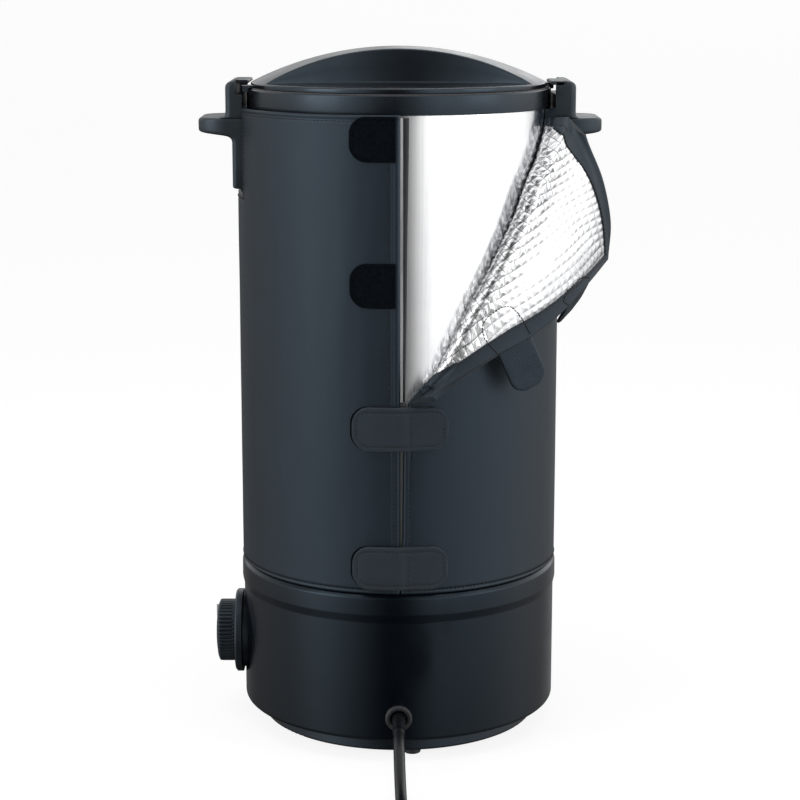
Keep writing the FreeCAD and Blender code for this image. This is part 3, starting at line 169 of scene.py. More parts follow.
def lathe(name, corners, segments=160, place=None, ripple=None, sharp=40.0):
    """A closed outline of (radius, height, rounding) turned round an axis, which place puts anywhere."""
    outline = soften(corners)
    points, faces = [], []
    count = len(outline)
    for segment in range(segments):
        angle = 2 * math.pi * segment / segments
        for spot in outline:
            radius = max(0.0, ripple(angle, spot.x, spot.y) if ripple else spot.x)
            point = Vector((radius * math.cos(angle), radius * math.sin(angle), spot.y))
            points.append(place @ point if place else point)
        beside = (segment + 1) % segments
        for index in range(count):
            after = (index + 1) % count
            faces.append((segment * count + index, segment * count + after, beside * count + after,
                          beside * count + index))
    clean = []
    for face in faces:
        spots = []
        for vertex in face:
            if not spots or (points[vertex] - points[spots[-1]]).length > 1e-5:
                spots.append(vertex)
        if len(spots) > 2 and (points[spots[0]] - points[spots[-1]]).length < 1e-5:
            spots.pop()
        if len(spots) > 2:
            clean.append(tuple(spots))
    return mesh_object(name, points, clean, sharp)


def slab(name, outer, inner, keep=None, sharp=50.0):
    """A sheet with two faces, from two grids of points, closed at its borders and round its holes."""
    rows, columns = outer.shape[:2]
    if keep is None:
        keep = np.ones((rows - 1, columns - 1), bool)
    points = np.concatenate([outer.reshape(-1, 3), inner.reshape(-1, 3)])
    offset = rows * columns
    faces = []

    def at(row, column):
        return row * columns + column

    def filled(row, column):
        return 0 <= row < rows - 1 and 0 <= column < columns - 1 and keep[row, column]

    for row in range(rows - 1):
        for column in range(columns - 1):
            if not keep[row, column]:
                continue
            a, b = at(row, column), at(row + 1, column)
            c, d = at(row + 1, column + 1), at(row, column + 1)
            faces.append((a, b, c, d))
            faces.append((offset + d, offset + c, offset + b, offset + a))
            for start, stop, beside in ((a, b, (row, column - 1)), (b, c, (row + 1, column)),
                                        (c, d, (row, column + 1)), (d, a, (row - 1, column))):
                if not filled(*beside):
                    faces.append((stop, start, offset + start, offset + stop))
    return mesh_object(name, points, faces, sharp)


def strip(name, sections, closed_path=False, sharp=50.0):
    """A solid swept through sections, each the same number of points round a closed outline."""
    count = len(sections[0])
    points = [point for section in sections for point in section]
    faces = []
    last = len(sections)
    for index in range(last if closed_path else last - 1):
        beside = (index + 1) % last
        for spot in range(count):
            after = (spot + 1) % count
            faces.append((index * count + spot, index * count + after, beside * count + after,
                          beside * count + spot))
    if not closed_path:
        faces.append(tuple(range(count)))
        faces.append(tuple((last - 1) * count + spot for spot in reversed(range(count))))
    return mesh_object(name, points, faces, sharp)


def tube(name, line, radii, sides):
    """A round tube along a line of points, with one radius for each point."""
    sections = []
    up = Vector((0, 0, 1))
    for index, point in enumerate(line):
        ahead = (line[min(index + 1, len(line) - 1)] - line[max(index - 1, 0)]).normalized()
        side = ahead.cross(up)
        if side.length < 0.05:
            side = ahead.cross(Vector((1, 0, 0)))
        side.normalize()
        over = side.cross(ahead)
        sections.append([point + side * (radii[index] * math.cos(2 * math.pi * step / sides))
                         + over * (radii[index] * math.sin(2 * math.pi * step / sides))
                         for step in range(sides)])
    return strip(name, sections)


def spaced(line, pitch):
    """Points at even distances along a line, each with the line's direction there."""
    line = np.array([tuple(point) for point in line], float)
    steps = np.linalg.norm(np.diff(line, axis=0), axis=1)
    reach = np.concatenate([[0], np.cumsum(steps)])
    count = max(2, int(reach[-1] / pitch) + 1)
    where = np.linspace(0, reach[-1], count)
    points = np.stack([np.interp(where, reach, line[:, axis]) for axis in range(3)], axis=1)
    ahead = np.gradient(points, axis=0)
    ahead /= np.maximum(np.linalg.norm(ahead, axis=1, keepdims=True), 1e-9)
    return points, ahead


def stitches(name, lines, pitch=3.1, long=2.3, thick=0.34):
    """Sewn thread on lines of points: one small spindle of thread a stitch, sunk at both ends."""
    points, faces = [], []
    sides = 6
    for line in lines:
        spots, ways = spaced(line, pitch)
        for spot, way in zip(spots[:-1], ways[:-1]):
            spot, way = Vector(spot), Vector(way)
            outward = Vector((spot.x, spot.y, 0)).normalized()
            side = way.cross(outward)
            if side.length < 0.1:
                side = way.cross(Vector((0, 0, 1)))
            side.normalize()
            over = side.cross(way)
            start = len(points)
            for share, swell, dip in ((-0.5, 0.25, -0.3), (-0.3, 0.9, 0.02), (0.3, 0.9, 0.02),
                                      (0.5, 0.25, -0.3)):
                centre = spot + way * (share * long) + over * (dip - 0.02)
                for step in range(sides):
                    turn = 2 * math.pi * step / sides
                    points.append(centre + side * (thick * swell * math.cos(turn))
                                  + over * (thick * swell * math.sin(turn)))
            for ring in range(3):
                for step in range(sides):
                    after = (step + 1) % sides
                    faces.append((start + ring * sides + step, start + ring * sides + after,
                                  start + (ring + 1) * sides + after, start + (ring + 1) * sides + step))
            faces.append(tuple(start + step for step in reversed(range(sides))))
            faces.append(tuple(start + 3 * sides + step for step in range(sides)))
    return mesh_object(name, points, faces, 60)


def rim_drop(share):
    """How far a rounded rim sinks, as a share of its depth, at a share of the way in from its edge."""
    return 1 - math.sqrt(max(0.0, 1 - (1 - min(1.0, share)) ** 2))


def corner_inset(distance, corner):
    """How far a round corner cuts in, at a distance from the end that it rounds."""
    if distance >= corner:
        return 0.0
    return corner - math.sqrt(max(0.0, corner ** 2 - (corner - distance) ** 2))


def smooth_step(value):
    """Eases from 0 to 1, flat at both ends."""
    value = np.clip(value, 0.0, 1.0)
    return value * value * (3 - 2 * value)


def wavy(x, y, z, seed=0.0):
    """Smooth noise from -1 to 1."""
    return noise.noise(Vector((x, y, z + seed)))


# ------------------------------------------------------------------------------- material tools
class Finish:
    """A material whose shader is built node by node."""

    def __init__(self, name, color, roughness, metallic=0.0, **constants):
        self.made = bpy.data.materials.new(name)
        self.made.use_nodes = True
        self.tree = self.made.node_tree
        self.shader = self.tree.nodes["Principled BSDF"]
        self.shader.inputs["Base Color"].default_value = (*color, 1)
        self.shader.inputs["Roughness"].default_value = roughness
        self.shader.inputs["Metallic"].default_value = metallic
        for socket, value in constants.items():
            self.shader.inputs[socket.replace("_", " ")].default_value = value
        self.made.diffuse_color = (*color, 1)
        self.last_normal = None
        self.place = None

    def node(self, kind, **settings):
        made = self.tree.nodes.new(kind)
        for key, value in settings.items():
            setattr(made, key, value)
        return made

    def plug(self, source, target):
        if isinstance(source, (int, float)):
            target.default_value = source
        else:
            self.tree.links.new(source, target)

    def coords(self):
        if self.place is None:
            self.place = self.node("ShaderNodeTexCoord").outputs["Object"]
        return self.place

    def math(self, operation, first, second=0.0, third=0.0):
        made = self.node("ShaderNodeMath", operation=operation)
        self.plug(first, made.inputs[0])
        self.plug(second, made.inputs[1])
        self.plug(third, made.inputs[2])
        return made.outputs[0]

    def stretched(self, scale):
        made = self.node("ShaderNodeMapping")
        made.inputs["Scale"].default_value = scale
        self.plug(self.coords(), made.inputs["Vector"])
        return made.outputs[0]

    def noise(self, scale, detail=4.0, rough=0.55, source=None):
        made = self.node("ShaderNodeTexNoise")
        made.inputs["Scale"].default_value = scale
        made.inputs["Detail"].default_value = detail
        made.inputs["Roughness"].default_value = rough
        self.plug(source or self.coords(), made.inputs["Vector"])
        return made.outputs["Fac"]

    def cells(self, scale):
        made = self.node("ShaderNodeTexVoronoi")
        made.inputs["Scale"].default_value = scale
        self.plug(self.coords(), made.inputs["Vector"])
        return made.outputs["Distance"]

    def ranged(self, value, low, high, to_low=0.0, to_high=1.0):
        made = self.node("ShaderNodeMapRange")
        self.plug(value, made.inputs["Value"])
        made.inputs["From Min"].default_value = low
        made.inputs["From Max"].default_value = high
        made.inputs["To Min"].default_value = to_low
        made.inputs["To Max"].default_value = to_high
        return made.outputs["Result"]

    def color_by(self, value, *stops):
        """Base colour from a value, through stops of (position, colour)."""
        made = self.node("ShaderNodeValToRGB")
        ramp = made.color_ramp
        while len(ramp.elements) < len(stops):
            ramp.elements.new(0.5)
        for element, (position, color) in zip(ramp.elements, stops):
            element.position = position
            element.color = (*color, 1)
        self.plug(value, made.inputs["Fac"])
        self.plug(made.outputs["Color"], self.shader.inputs["Base Color"])

    def roughness_by(self, value, low, high, least, most):
        self.plug(self.ranged(value, low, high, least, most), self.shader.inputs["Roughness"])

    def bump(self, height, strength, depth):
        """Adds relief on top of what is there already; depth is in metres."""
        made = self.node("ShaderNodeBump")
        made.inputs["Strength"].default_value = strength
        made.inputs["Distance"].default_value = depth
        self.plug(height, made.inputs["Height"])
        if self.last_normal is not None:
            self.plug(self.last_normal, made.inputs["Normal"])
        self.last_normal = made.outputs["Normal"]
        self.plug(self.last_normal, self.shader.inputs["Normal"])

    def round_pot(self):
        """Distance round the pot and height, in metres, as two outputs."""
        split = self.node("ShaderNodeSeparateXYZ")
        self.plug(self.coords(), split.inputs[0])
        back = self.math("MULTIPLY", split.outputs["Y"], -1.0)
        turn = self.math("ARCTAN2", split.outputs["X"], back)
        return self.math("MULTIPLY", turn, JACKET_RADIUS * MM), split.outputs["Z"]


COOL_BLACK = (0.62, 0.82, 1.0, 1)


def shade(color, factor):
    """The same colour, darker or lighter."""
    return tuple(min(1.0, part * factor) for part in color)


def moulded(name, color, roughness, grain=900.0, relief=0.35, **constants):
    """Moulded plastic or enamel: fine grain, slightly uneven gloss and faint handling marks."""
    paint = Finish(name, color, roughness, **constants)
    if max(color) < 0.1:
        paint.shader.inputs["Specular Tint"].default_value = COOL_BLACK
    patches = paint.noise(14.0, 5.0, 0.6)
    paint.color_by(patches, (0.3, shade(color, 0.82)), (0.7, shade(color, 1.2)))
    paint.roughness_by(paint.noise(45.0, 6.0, 0.65), 0.35, 0.68, roughness * 0.85, roughness * 1.18)
    paint.bump(paint.noise(grain, 2.0, 0.5), relief, 0.00003)
    return paint.made


def metal(name, color, roughness, grain=(1, 1, 1), relief=0.15, stain=0.12):
    """Metal with drawn or brushed grain, uneven polish and faint staining."""
    paint = Finish(name, color, roughness, 1.0)
    patches = paint.noise(22.0, 5.0, 0.6)
    paint.color_by(patches, (0.25, shade(color, 1 - stain)), (0.6, color))
    lines = paint.noise(260.0, 3.0, 0.6, paint.stretched(grain))
    paint.roughness_by(lines, 0.3, 0.7, roughness * 0.75, roughness * 1.35)
    paint.bump(lines, relief, 0.00002)
    return paint.made


def rubbery(name, color, roughness, grain=700.0):
    """Rubber or soft PVC: matt bloom in patches and a fine pebble."""
    paint = Finish(name, color, roughness)
    paint.color_by(paint.noise(60.0, 5.0, 0.6), (0.3, shade(color, 0.8)), (0.75, shade(color, 1.35)))
    paint.roughness_by(paint.noise(110.0, 4.0, 0.6), 0.3, 0.7, roughness * 0.85, roughness * 1.15)
    paint.bump(paint.noise(grain, 2.0, 0.5), 0.3, 0.00004)
    return paint.made


def woven(name, color, thread, roughness, relief, sheen):
    """Plain-woven nylon laid round the pot, with threads of the given pitch in metres."""
    paint = Finish(name, color, roughness, Sheen_Weight=sheen, Sheen_Roughness=0.45, Specular_IOR_Level=0.5,
                   Specular_Tint=COOL_BLACK)
    around, up = paint.round_pot()
    step = 2 * math.pi / (2 * thread)
    warp = paint.math("SINE", paint.math("MULTIPLY", around, step))
    weft = paint.math("SINE", paint.math("MULTIPLY", up, step))
    cloth = paint.math("MULTIPLY", warp, weft)
    patches = paint.noise(9.0, 6.0, 0.6)
    slubs = paint.noise(240.0, 3.0, 0.6, paint.stretched((1, 1, 0.06)))
    mixed = paint.math("MULTIPLY_ADD", cloth, 0.16, paint.math("MULTIPLY_ADD", slubs, 0.35, patches))
    paint.color_by(mixed, (0.42, shade(color, 0.78)), (0.68, color), (0.95, shade(color, 1.3)))
    paint.roughness_by(patches, 0.3, 0.7, roughness * 0.88, roughness * 1.1)
    paint.bump(patches, 0.25, 0.0012)
    paint.bump(cloth, relief, 0.00006)
    return paint.made


# ------------------------------------------------------------------------------- materials
def make_materials():
    """Every finish by its short name: plastics, rubbers, metals, cloth and the special ones."""
    paints = {}
    paints["lid"] = moulded("lid_plastic", (0.010, 0.012, 0.015), 0.30, 1100, 0.22)
    paints["lid_rim"] = moulded("lid_rim_plastic", (0.010, 0.012, 0.015), 0.16, 1100, 0.12)
    paints["handle"] = moulded("handle_plastic", (0.022, 0.025, 0.027), 0.45, 800, 0.5)
    paints["collar"] = moulded("collar_enamel", (0.010, 0.012, 0.015), 0.27, 600, 0.15)
    paints["base"] = moulded("base_coating", (0.002, 0.0035, 0.006), 0.24, 420, 0.12,
                             Specular_IOR_Level=0.36)
    paints["knob"] = moulded("knob_plastic", (0.011, 0.013, 0.016), 0.4, 1300, 0.35)
    paints["case"] = moulded("cream_case", (0.55, 0.5, 0.4), 0.5, 900, 0.3)
    paints["sleeve"] = moulded("wire_sleeve", (0.42, 0.4, 0.34), 0.65, 1800, 0.8)
    paints["grip"] = rubbery("red_vinyl", (0.36, 0.02, 0.014), 0.38)
    paints["rubber"] = rubbery("black_rubber", (0.013, 0.014, 0.016), 0.6)
    paints["cord"] = rubbery("cord_pvc", (0.007, 0.008, 0.0095), 0.3, 380.0)
    paints["seal"] = rubbery("seal_silicone", (0.05, 0.05, 0.055), 0.55)
    paints["steel"] = pot_steel()
    paints["liner"] = metal("liner_steel", (0.68, 0.68, 0.69), 0.28, (1, 8, 1))
    paints["screw"] = metal("plated_screw", (0.55, 0.55, 0.57), 0.3)
    paints["cast"] = metal("cast_aluminium", (0.55, 0.55, 0.57), 0.5, (1, 1, 1), 0.5)
    paints["element"] = metal("element_sheath", (0.24, 0.22, 0.21), 0.45, (1, 1, 6), 0.3, 0.3)
    paints["shield"] = metal("rolled_shield", (0.72, 0.72, 0.73), 0.3, (9, 1, 1))
    paints["copper"] = metal("drawn_copper", (0.66, 0.36, 0.24), 0.3, (1, 1, 4), 0.2, 0.25)
    paints["tap"] = metal("tap_steel", (0.74, 0.74, 0.75), 0.16, (1, 1, 3), 0.1, 0.06)
    paints["brass"] = metal("plated_brass", (0.72, 0.66, 0.46), 0.26, (4, 1, 1))
    paints["jacket"] = woven("jacket_nylon", (0.009, 0.013, 0.018), 0.00055, 0.42, 0.6, 0.0)
    paints["binding"] = woven("binding_tape", (0.021, 0.026, 0.032), 0.0008, 0.62, 0.9, 0.2)
    paints["tab"] = woven("tab_webbing", (0.019, 0.024, 0.029), 0.0009, 0.66, 0.9, 0.2)
    paints["loops"] = loop_pile()
    paints["hooks"] = hook_tape()
    paints["thread"] = rubbery("sewing_thread", (0.0014, 0.0016, 0.002), 0.7, 2500.0)
    # painted shade: the dark strip beside the seam's foil lip stands in for the shaded gap there
    paints["inner_hem"] = woven("inner_hem", (0.05, 0.046, 0.042), 0.0008, 0.5, 0.6, 0.1)
    paints["low_lip"] = woven("low_lip", (0.13, 0.124, 0.12), 0.0008, 0.5, 0.4, 0.1)
    paints["foil"] = foil()
    paints["lining"] = lining()
    paints["lip"] = metal("foil_edge", (0.78, 0.78, 0.79), 0.42, (1, 1, 0.1), 0.2)
    paints["lens"] = lens()
    paints["pointer"] = moulded("pointer_paint", (0.7, 0.7, 0.68), 0.45, 900, 0.2)
    return paints


def pot_steel():
    """Polished stainless steel, brushed round the pot, so that reflections smear up and down."""
    paint = Finish("pot_steel", (0.86, 0.87, 0.88), 0.1, 1.0, Anisotropic=0.92, Anisotropic_Rotation=0.25)
    round_axis = paint.node("ShaderNodeTangent", direction_type="RADIAL", axis="Z")
    paint.plug(round_axis.outputs[0], paint.shader.inputs["Tangent"])
    marks = paint.noise(16.0, 6.0, 0.62)
    paint.color_by(marks, (0.3, (0.8, 0.81, 0.83)), (0.6, (0.88, 0.885, 0.89)))
    lines = paint.noise(900.0, 2.0, 0.5, paint.stretched((1, 1, 0.012)))
    paint.roughness_by(lines, 0.3, 0.7, 0.2, 0.3)
    paint.bump(lines, 0.06, 0.00002)
    return paint.made


def quilt_facet_shading(paint, split):
    """Painted shade: how dark each of a cell's four slopes is painted by how far it is turned from the light,
    and painted shade in the creases between them.
    """
    sides = []
    for axis in ("X", "Y"):
        part = paint.math("FRACT", split.outputs[axis])
        sides.append(paint.math("SUBTRACT", part, 0.5))
    sizes = [paint.math("ABSOLUTE", side) for side in sides]
    apart = paint.math("SUBTRACT", *sizes)
    across = paint.math("GREATER_THAN", apart, 0.0)
    right = paint.math("GREATER_THAN", sides[0], 0.0)
    high = paint.math("GREATER_THAN", sides[1], 0.0)
    first = paint.math("MULTIPLY_ADD", right, -0.95, 0.95)
    second = paint.math("MULTIPLY_ADD", high, -0.35, 0.45)
    turned = paint.math("ADD", paint.math("MULTIPLY", across, first),
                        paint.math("MULTIPLY", paint.math("SUBTRACT", 1.0, across), second))
    cell = paint.node("ShaderNodeVectorMath", operation="FLOOR")
    paint.plug(split.inputs[0].links[0].from_socket, cell.inputs[0])
    chance = paint.node("ShaderNodeTexWhiteNoise", noise_dimensions="2D")
    paint.plug(cell.outputs[0], chance.inputs["Vector"])
    facet_shade = paint.math("MULTIPLY", turned, paint.math("MULTIPLY_ADD", chance.outputs["Value"], 0.65, 0.5))
    diagonal_shade = paint.ranged(paint.math("ABSOLUTE", apart), 0.02, 0.075, 0.7, 0.0)
    return facet_shade, paint.math("MULTIPLY", diagonal_shade, chance.outputs["Value"])


def foil():
    """Aluminised lining whose colour holds painted light: shade near the fold, bright across the middle, grey
    to the far edge.
    """
    paint = Finish("foil_lining", (0.9, 0.905, 0.91), 0.2, 0.92)
    split = paint.node("ShaderNodeSeparateXYZ")
    paint.plug(paint.node("ShaderNodeUVMap", uv_map="quilt").outputs["UV"], split.inputs[0])
    across = paint.math("ABSOLUTE", paint.math("SINE", paint.math("MULTIPLY", split.outputs["X"], math.pi)))
    along = paint.math("ABSOLUTE", paint.math("SINE", paint.math("MULTIPLY", split.outputs["Y"], math.pi)))
    line = paint.math("MINIMUM", across, along)
    zones = paint.node("ShaderNodeSeparateXYZ")
    paint.plug(paint.node("ShaderNodeUVMap", uv_map="panel").outputs["UV"], zones.inputs[0])
    crumple = paint.noise(330.0, 5.0, 0.7)
    broad = paint.noise(60.0, 2.0, 0.5)
    ragged = paint.math("MULTIPLY_ADD", broad, 0.16, zones.outputs["X"])
    folded = paint.ranged(ragged, 0.34, 0.54, 1.0, 0.0)
    far = paint.ranged(paint.math("MULTIPLY_ADD", broad, 0.1, zones.outputs["Y"]), 0.2, 0.46, 1.0, 0.0)
    # painted shade: the quilting's sewn grooves and the creases near the fold are darkened in the colour
    jittered_line = paint.math("MULTIPLY_ADD", crumple, 0.2, line)
    sewn = paint.ranged(jittered_line, 0.12, 0.3, 1.0, 0.0)
    # painted shade on the quilt cells' slopes and in their diagonal creases
    facet_shade, diagonal_shade = quilt_facet_shading(paint, split)
    ridge = paint.math("ABSOLUTE", paint.math("SUBTRACT", paint.noise(110.0, 2.0, 0.5), 0.5))
    crease = paint.math("MAXIMUM", paint.ranged(ridge, 0.004, 0.03, 0.25, 0.0), diagonal_shade)
    groove_shade = paint.math("MAXIMUM", sewn, paint.math("MULTIPLY", crease, folded))
    depth = paint.math("MULTIPLY_ADD", folded, 0.76, paint.math("MULTIPLY_ADD", far, 0.3, 0.1))
    foot = paint.math("MULTIPLY", folded, far)
    # painted reflection: grey towards the far edge, a little darker near the fold, lighter at the panel's
    # foot, bright across the middle
    painted_reflection = paint.math("MULTIPLY_ADD", folded, -0.12, paint.math("MULTIPLY_ADD", far, -0.47, 1.0))
    painted_reflection = paint.math("MULTIPLY_ADD", foot, 0.5, painted_reflection)
    share = paint.math("MULTIPLY_ADD", folded, 0.66, paint.math("MULTIPLY", far, 0.14))
    share = paint.math("MULTIPLY_ADD", foot, -0.55, share)
    sides = paint.math("MULTIPLY", facet_shade, share)
    shaded_tone = paint.math("SUBTRACT", painted_reflection, sides)
    lit = paint.math("SUBTRACT", 1.0, paint.math("MULTIPLY", depth, groove_shade))
    bright = paint.math("MULTIPLY", shaded_tone, lit)
    paint.color_by(bright, (0.0, (0.012, 0.013, 0.016)), (1.0, (0.93, 0.935, 0.945)))
    paint.roughness_by(crumple, 0.3, 0.7, 0.16, 0.34)
    paint.bump(paint.math("MULTIPLY", crumple, paint.math("MULTIPLY_ADD", folded, 0.5, 0.35)), 0.5, 0.0006)
    paint.bump(paint.noise(1200.0, 2.0, 0.6), 0.25, 0.00012)
    return paint.made


def lining():
    """The same foil where it is flat, on the jacket's inner face."""
    paint = Finish("flat_lining", (0.78, 0.785, 0.79), 0.25, 0.9)
    crumple = paint.noise(240.0, 5.0, 0.7)
    paint.color_by(crumple, (0.3, (0.55, 0.555, 0.56)), (0.6, (0.86, 0.865, 0.87)))
    paint.roughness_by(crumple, 0.3, 0.7, 0.16, 0.36)
    paint.bump(crumple, 0.6, 0.0008)
    return paint.made


def loop_pile():
    """Loop pile: a dull near-black felt of small curls."""
    color = (0.003, 0.004, 0.006)
    paint = Finish("loop_pile", color, 0.95, Specular_IOR_Level=0.12, Specular_Tint=COOL_BLACK)
    curls = paint.cells(1500.0)
    tufts = paint.noise(420.0, 4.0, 0.7)
    paint.color_by(tufts, (0.35, shade(color, 0.5)), (0.7, shade(color, 1.9)))
    paint.bump(tufts, 0.8, 0.0006)
    paint.bump(curls, 0.9, 0.0004)
    return paint.made


def hook_tape():
    """Hook tape: rows of stiff hooks, which show as fine ribs."""
    color = (0.012, 0.016, 0.021)
    paint = Finish("hook_tape", color, 0.45, Specular_IOR_Level=0.45, Specular_Tint=COOL_BLACK)
    dots = paint.cells(900.0)
    paint.color_by(dots, (0.1, shade(color, 1.6)), (0.6, shade(color, 0.55)))
    paint.bump(dots, 0.35, 0.00015)
    return paint.made


def lens():
    """Amber lens over the pilot lamp: clear plastic, grained inside."""
    paint = Finish("amber_lens", (0.25, 0.06, 0.01), 0.12, Transmission_Weight=0.4, IOR=1.49)
    paint.color_by(paint.noise(300.0), (0.3, (0.2, 0.045, 0.008)), (0.7, (0.28, 0.075, 0.012)))
    paint.bump(paint.cells(700.0), 0.3, 0.0003)
    return paint.made


paints = make_materials()


# ------------------------------------------------------------------------------- camera, lights and stage
def make_camera():
    """The photograph's camera: a long lens, a little above the object and tilted down."""
    data = bpy.data.cameras.new("camera")
    data.lens = 94.5
    data.sensor_width = 36
    data.shift_x = 0.0016
    camera = bpy.data.objects.new("camera", data)
    camera.location = (0, -1.542, 0.556)
    camera.rotation_euler = (math.radians(78.5), 0, 0)
    bpy.context.scene.collection.objects.link(camera)
    bpy.context.scene.camera = camera


def make_lamp(name, place, aim, width, height, power):
    """A softbox at a place, turned towards its aim."""
    data = bpy.data.lights.new(name, "AREA")
    data.shape = "RECTANGLE"
    data.size = width
    data.size_y = height
    data.energy = power
    lamp = bpy.data.objects.new(name, data)
    lamp.location = place
    lamp.rotation_euler = (Vector(aim) - Vector(place)).to_track_quat("-Z", "Y").to_euler()
    bpy.context.scene.collection.objects.link(lamp)


AMBIENT = 0.26
RIGHT_LIGHT = 1.12
LEFT_LIGHT = 0.62
LEFT_GLOW = 0.95
LEFT_GLOW_AT = -59.0
LEFT_GLOW_WIDE = 21.0
STRIP_MIDDLE = -2.0
STRIP_DARK = 0.04
FAR_SHARE = 0.3
TOP_LIGHT = 1.7
LIGHT_BY_HEIGHT = [(-1.0, 0.1), (-0.6, 0.16), (-0.33, 0.5), (-0.08, 0.77), (0.1, 1.0), (0.5, 0.8),
                   (0.9, 0.4)]


def make_world():
    """A white surround for the eye, and for gloss one with a dark strip where the camera stands."""
    world = bpy.data.worlds.new("studio")
    bpy.context.scene.world = world
    world.use_nodes = True
    tree = world.node_tree
    tree.nodes.clear()

    def node(kind, **settings):
        made = tree.nodes.new(kind)
        for key, value in settings.items():
            setattr(made, key, value)
        return made

    def math_node(operation, *values):
        made = node("ShaderNodeMath", operation=operation)
        for socket, value in zip(made.inputs, values):
            if isinstance(value, (int, float)):
                socket.default_value = value
            else:
                tree.links.new(value, socket)
        return made.outputs[0]

    def eased(value, low, high, to_low, to_high):
        made = node("ShaderNodeMapRange", interpolation_type="SMOOTHSTEP")
        tree.links.new(value, made.inputs["Value"])
        made.inputs["From Min"].default_value = low
        made.inputs["From Max"].default_value = high
        made.inputs["To Min"].default_value = to_low
        made.inputs["To Max"].default_value = to_high
        return made.outputs["Result"]

    way = node("ShaderNodeTexCoord").outputs["Generated"]
    split = node("ShaderNodeSeparateXYZ")
    tree.links.new(way, split.inputs[0])
    back = math_node("MULTIPLY", split.outputs["Y"], -1.0)
    azimuth = math_node("ARCTAN2", split.outputs["X"], back)
    off = math_node("ABSOLUTE", math_node("SUBTRACT", azimuth, math.radians(STRIP_MIDDLE)))
    edge = eased(off, math.radians(2.0), math.radians(33.0), STRIP_DARK, 1.0)
    far = eased(off, math.radians(85.0), math.radians(140.0), 1.0, FAR_SHARE)
    raised = eased(split.outputs["Z"], 0.0, 0.15, 0.0, 1.0)
    behind = math_node("MAXIMUM", far, raised)
    apart = math_node("DIVIDE", math_node("SUBTRACT", azimuth, math.radians(LEFT_GLOW_AT)),
                      math.radians(LEFT_GLOW_WIDE))
    bell = math_node("EXPONENT", math_node("MULTIPLY", math_node("MULTIPLY", apart, apart), -1.0))
    left = math_node("MULTIPLY_ADD", bell, LEFT_GLOW, LEFT_LIGHT)
    rightwards = math_node("GREATER_THAN", azimuth, 0.0)
    step = math_node("SUBTRACT", RIGHT_LIGHT, left)
    side = math_node("MULTIPLY_ADD", rightwards, step, left)
    height = node("ShaderNodeValToRGB")
    tree.links.new(math_node("MULTIPLY_ADD", split.outputs["Z"], 0.5, 0.5), height.inputs["Fac"])
    while len(height.color_ramp.elements) < len(LIGHT_BY_HEIGHT):
        height.color_ramp.elements.new(0.5)
    for element, (level, share) in zip(height.color_ramp.elements, LIGHT_BY_HEIGHT):
        element.position = 0.5 + level / 2
        element.color = (share, share, share, 1)
    lit = math_node("MULTIPLY", side, height.outputs["Color"])
    around = math_node("MULTIPLY", math_node("MULTIPLY", edge, behind), math_node("MULTIPLY", lit, TOP_LIGHT))
    path = node("ShaderNodeLightPath")
    glossy = math_node("MULTIPLY", path.outputs["Is Glossy Ray"], around)
    seen = math_node("MAXIMUM", path.outputs["Is Camera Ray"], path.outputs["Is Transmission Ray"])
    direct = math_node("MAXIMUM", glossy, seen)
    special = math_node("MAXIMUM", path.outputs["Is Glossy Ray"], seen)
    rest = math_node("MULTIPLY", math_node("SUBTRACT", 1.0, special), AMBIENT)
    strength = math_node("ADD", direct, rest)
    light = node("ShaderNodeBackground")
    light.inputs["Color"].default_value = (1, 1, 1, 1)
    tree.links.new(strength, light.inputs["Strength"])
    out = node("ShaderNodeOutputWorld")
    tree.links.new(light.outputs[0], out.inputs["Surface"])


def make_floor():
    """A pale floor, lightened to the camera until only the shadow is left, and clear to reflections."""
    mesh = bpy.data.meshes.new("floor")
    half = 300.0
    mesh.from_pydata([(-half, -half, 0), (half, -half, 0), (half, half, 0), (-half, half, 0)], [],
                     [(0, 1, 2, 3)])
    floor = bpy.data.objects.new("floor", mesh)
    bpy.context.scene.collection.objects.link(floor)
    paint = bpy.data.materials.new("pale_floor")
    paint.use_nodes = True
    tree = paint.node_tree
    shader = tree.nodes["Principled BSDF"]
    shader.inputs["Base Color"].default_value = (0.9, 0.9, 0.9, 1)
    shader.inputs["Roughness"].default_value = 0.8
    glow = tree.nodes.new("ShaderNodeEmission")
    glow.inputs["Strength"].default_value = 1.28
    path = tree.nodes.new("ShaderNodeLightPath")
    share = tree.nodes.new("ShaderNodeMath")
    share.operation = "MULTIPLY"
    share.inputs[1].default_value = 0.68
    tree.links.new(path.outputs["Is Camera Ray"], share.inputs[0])
    mix = tree.nodes.new("ShaderNodeMixShader")
    tree.links.new(share.outputs[0], mix.inputs[0])
    tree.links.new(shader.outputs[0], mix.inputs[1])
    tree.links.new(glow.outputs[0], mix.inputs[2])
    clear = tree.nodes.new("ShaderNodeBsdfTransparent")
    passing = tree.nodes.new("ShaderNodeMixShader")
    tree.links.new(path.outputs["Is Glossy Ray"], passing.inputs[0])
    tree.links.new(mix.outputs[0], passing.inputs[1])
    tree.links.new(clear.outputs[0], passing.inputs[2])
    tree.links.new(passing.outputs[0], tree.nodes["Material Output"].inputs["Surface"])
    mesh.materials.append(paint)


def make_lights():
    """A softbox on each side of the camera, and one above."""
    make_lamp("softbox_left", (-1.5, -0.9, 1.1), (0, 0, 0.28), 0.9, 1.6, 7)
    make_lamp("softbox_right", (1.55, -0.75, 1.1), (0, 0, 0.28), 0.9, 1.6, 5)
    make_lamp("softbox_top", (0.0, -0.3, 2.0), (0, 0, 0.3), 1.6, 1.2, 7)


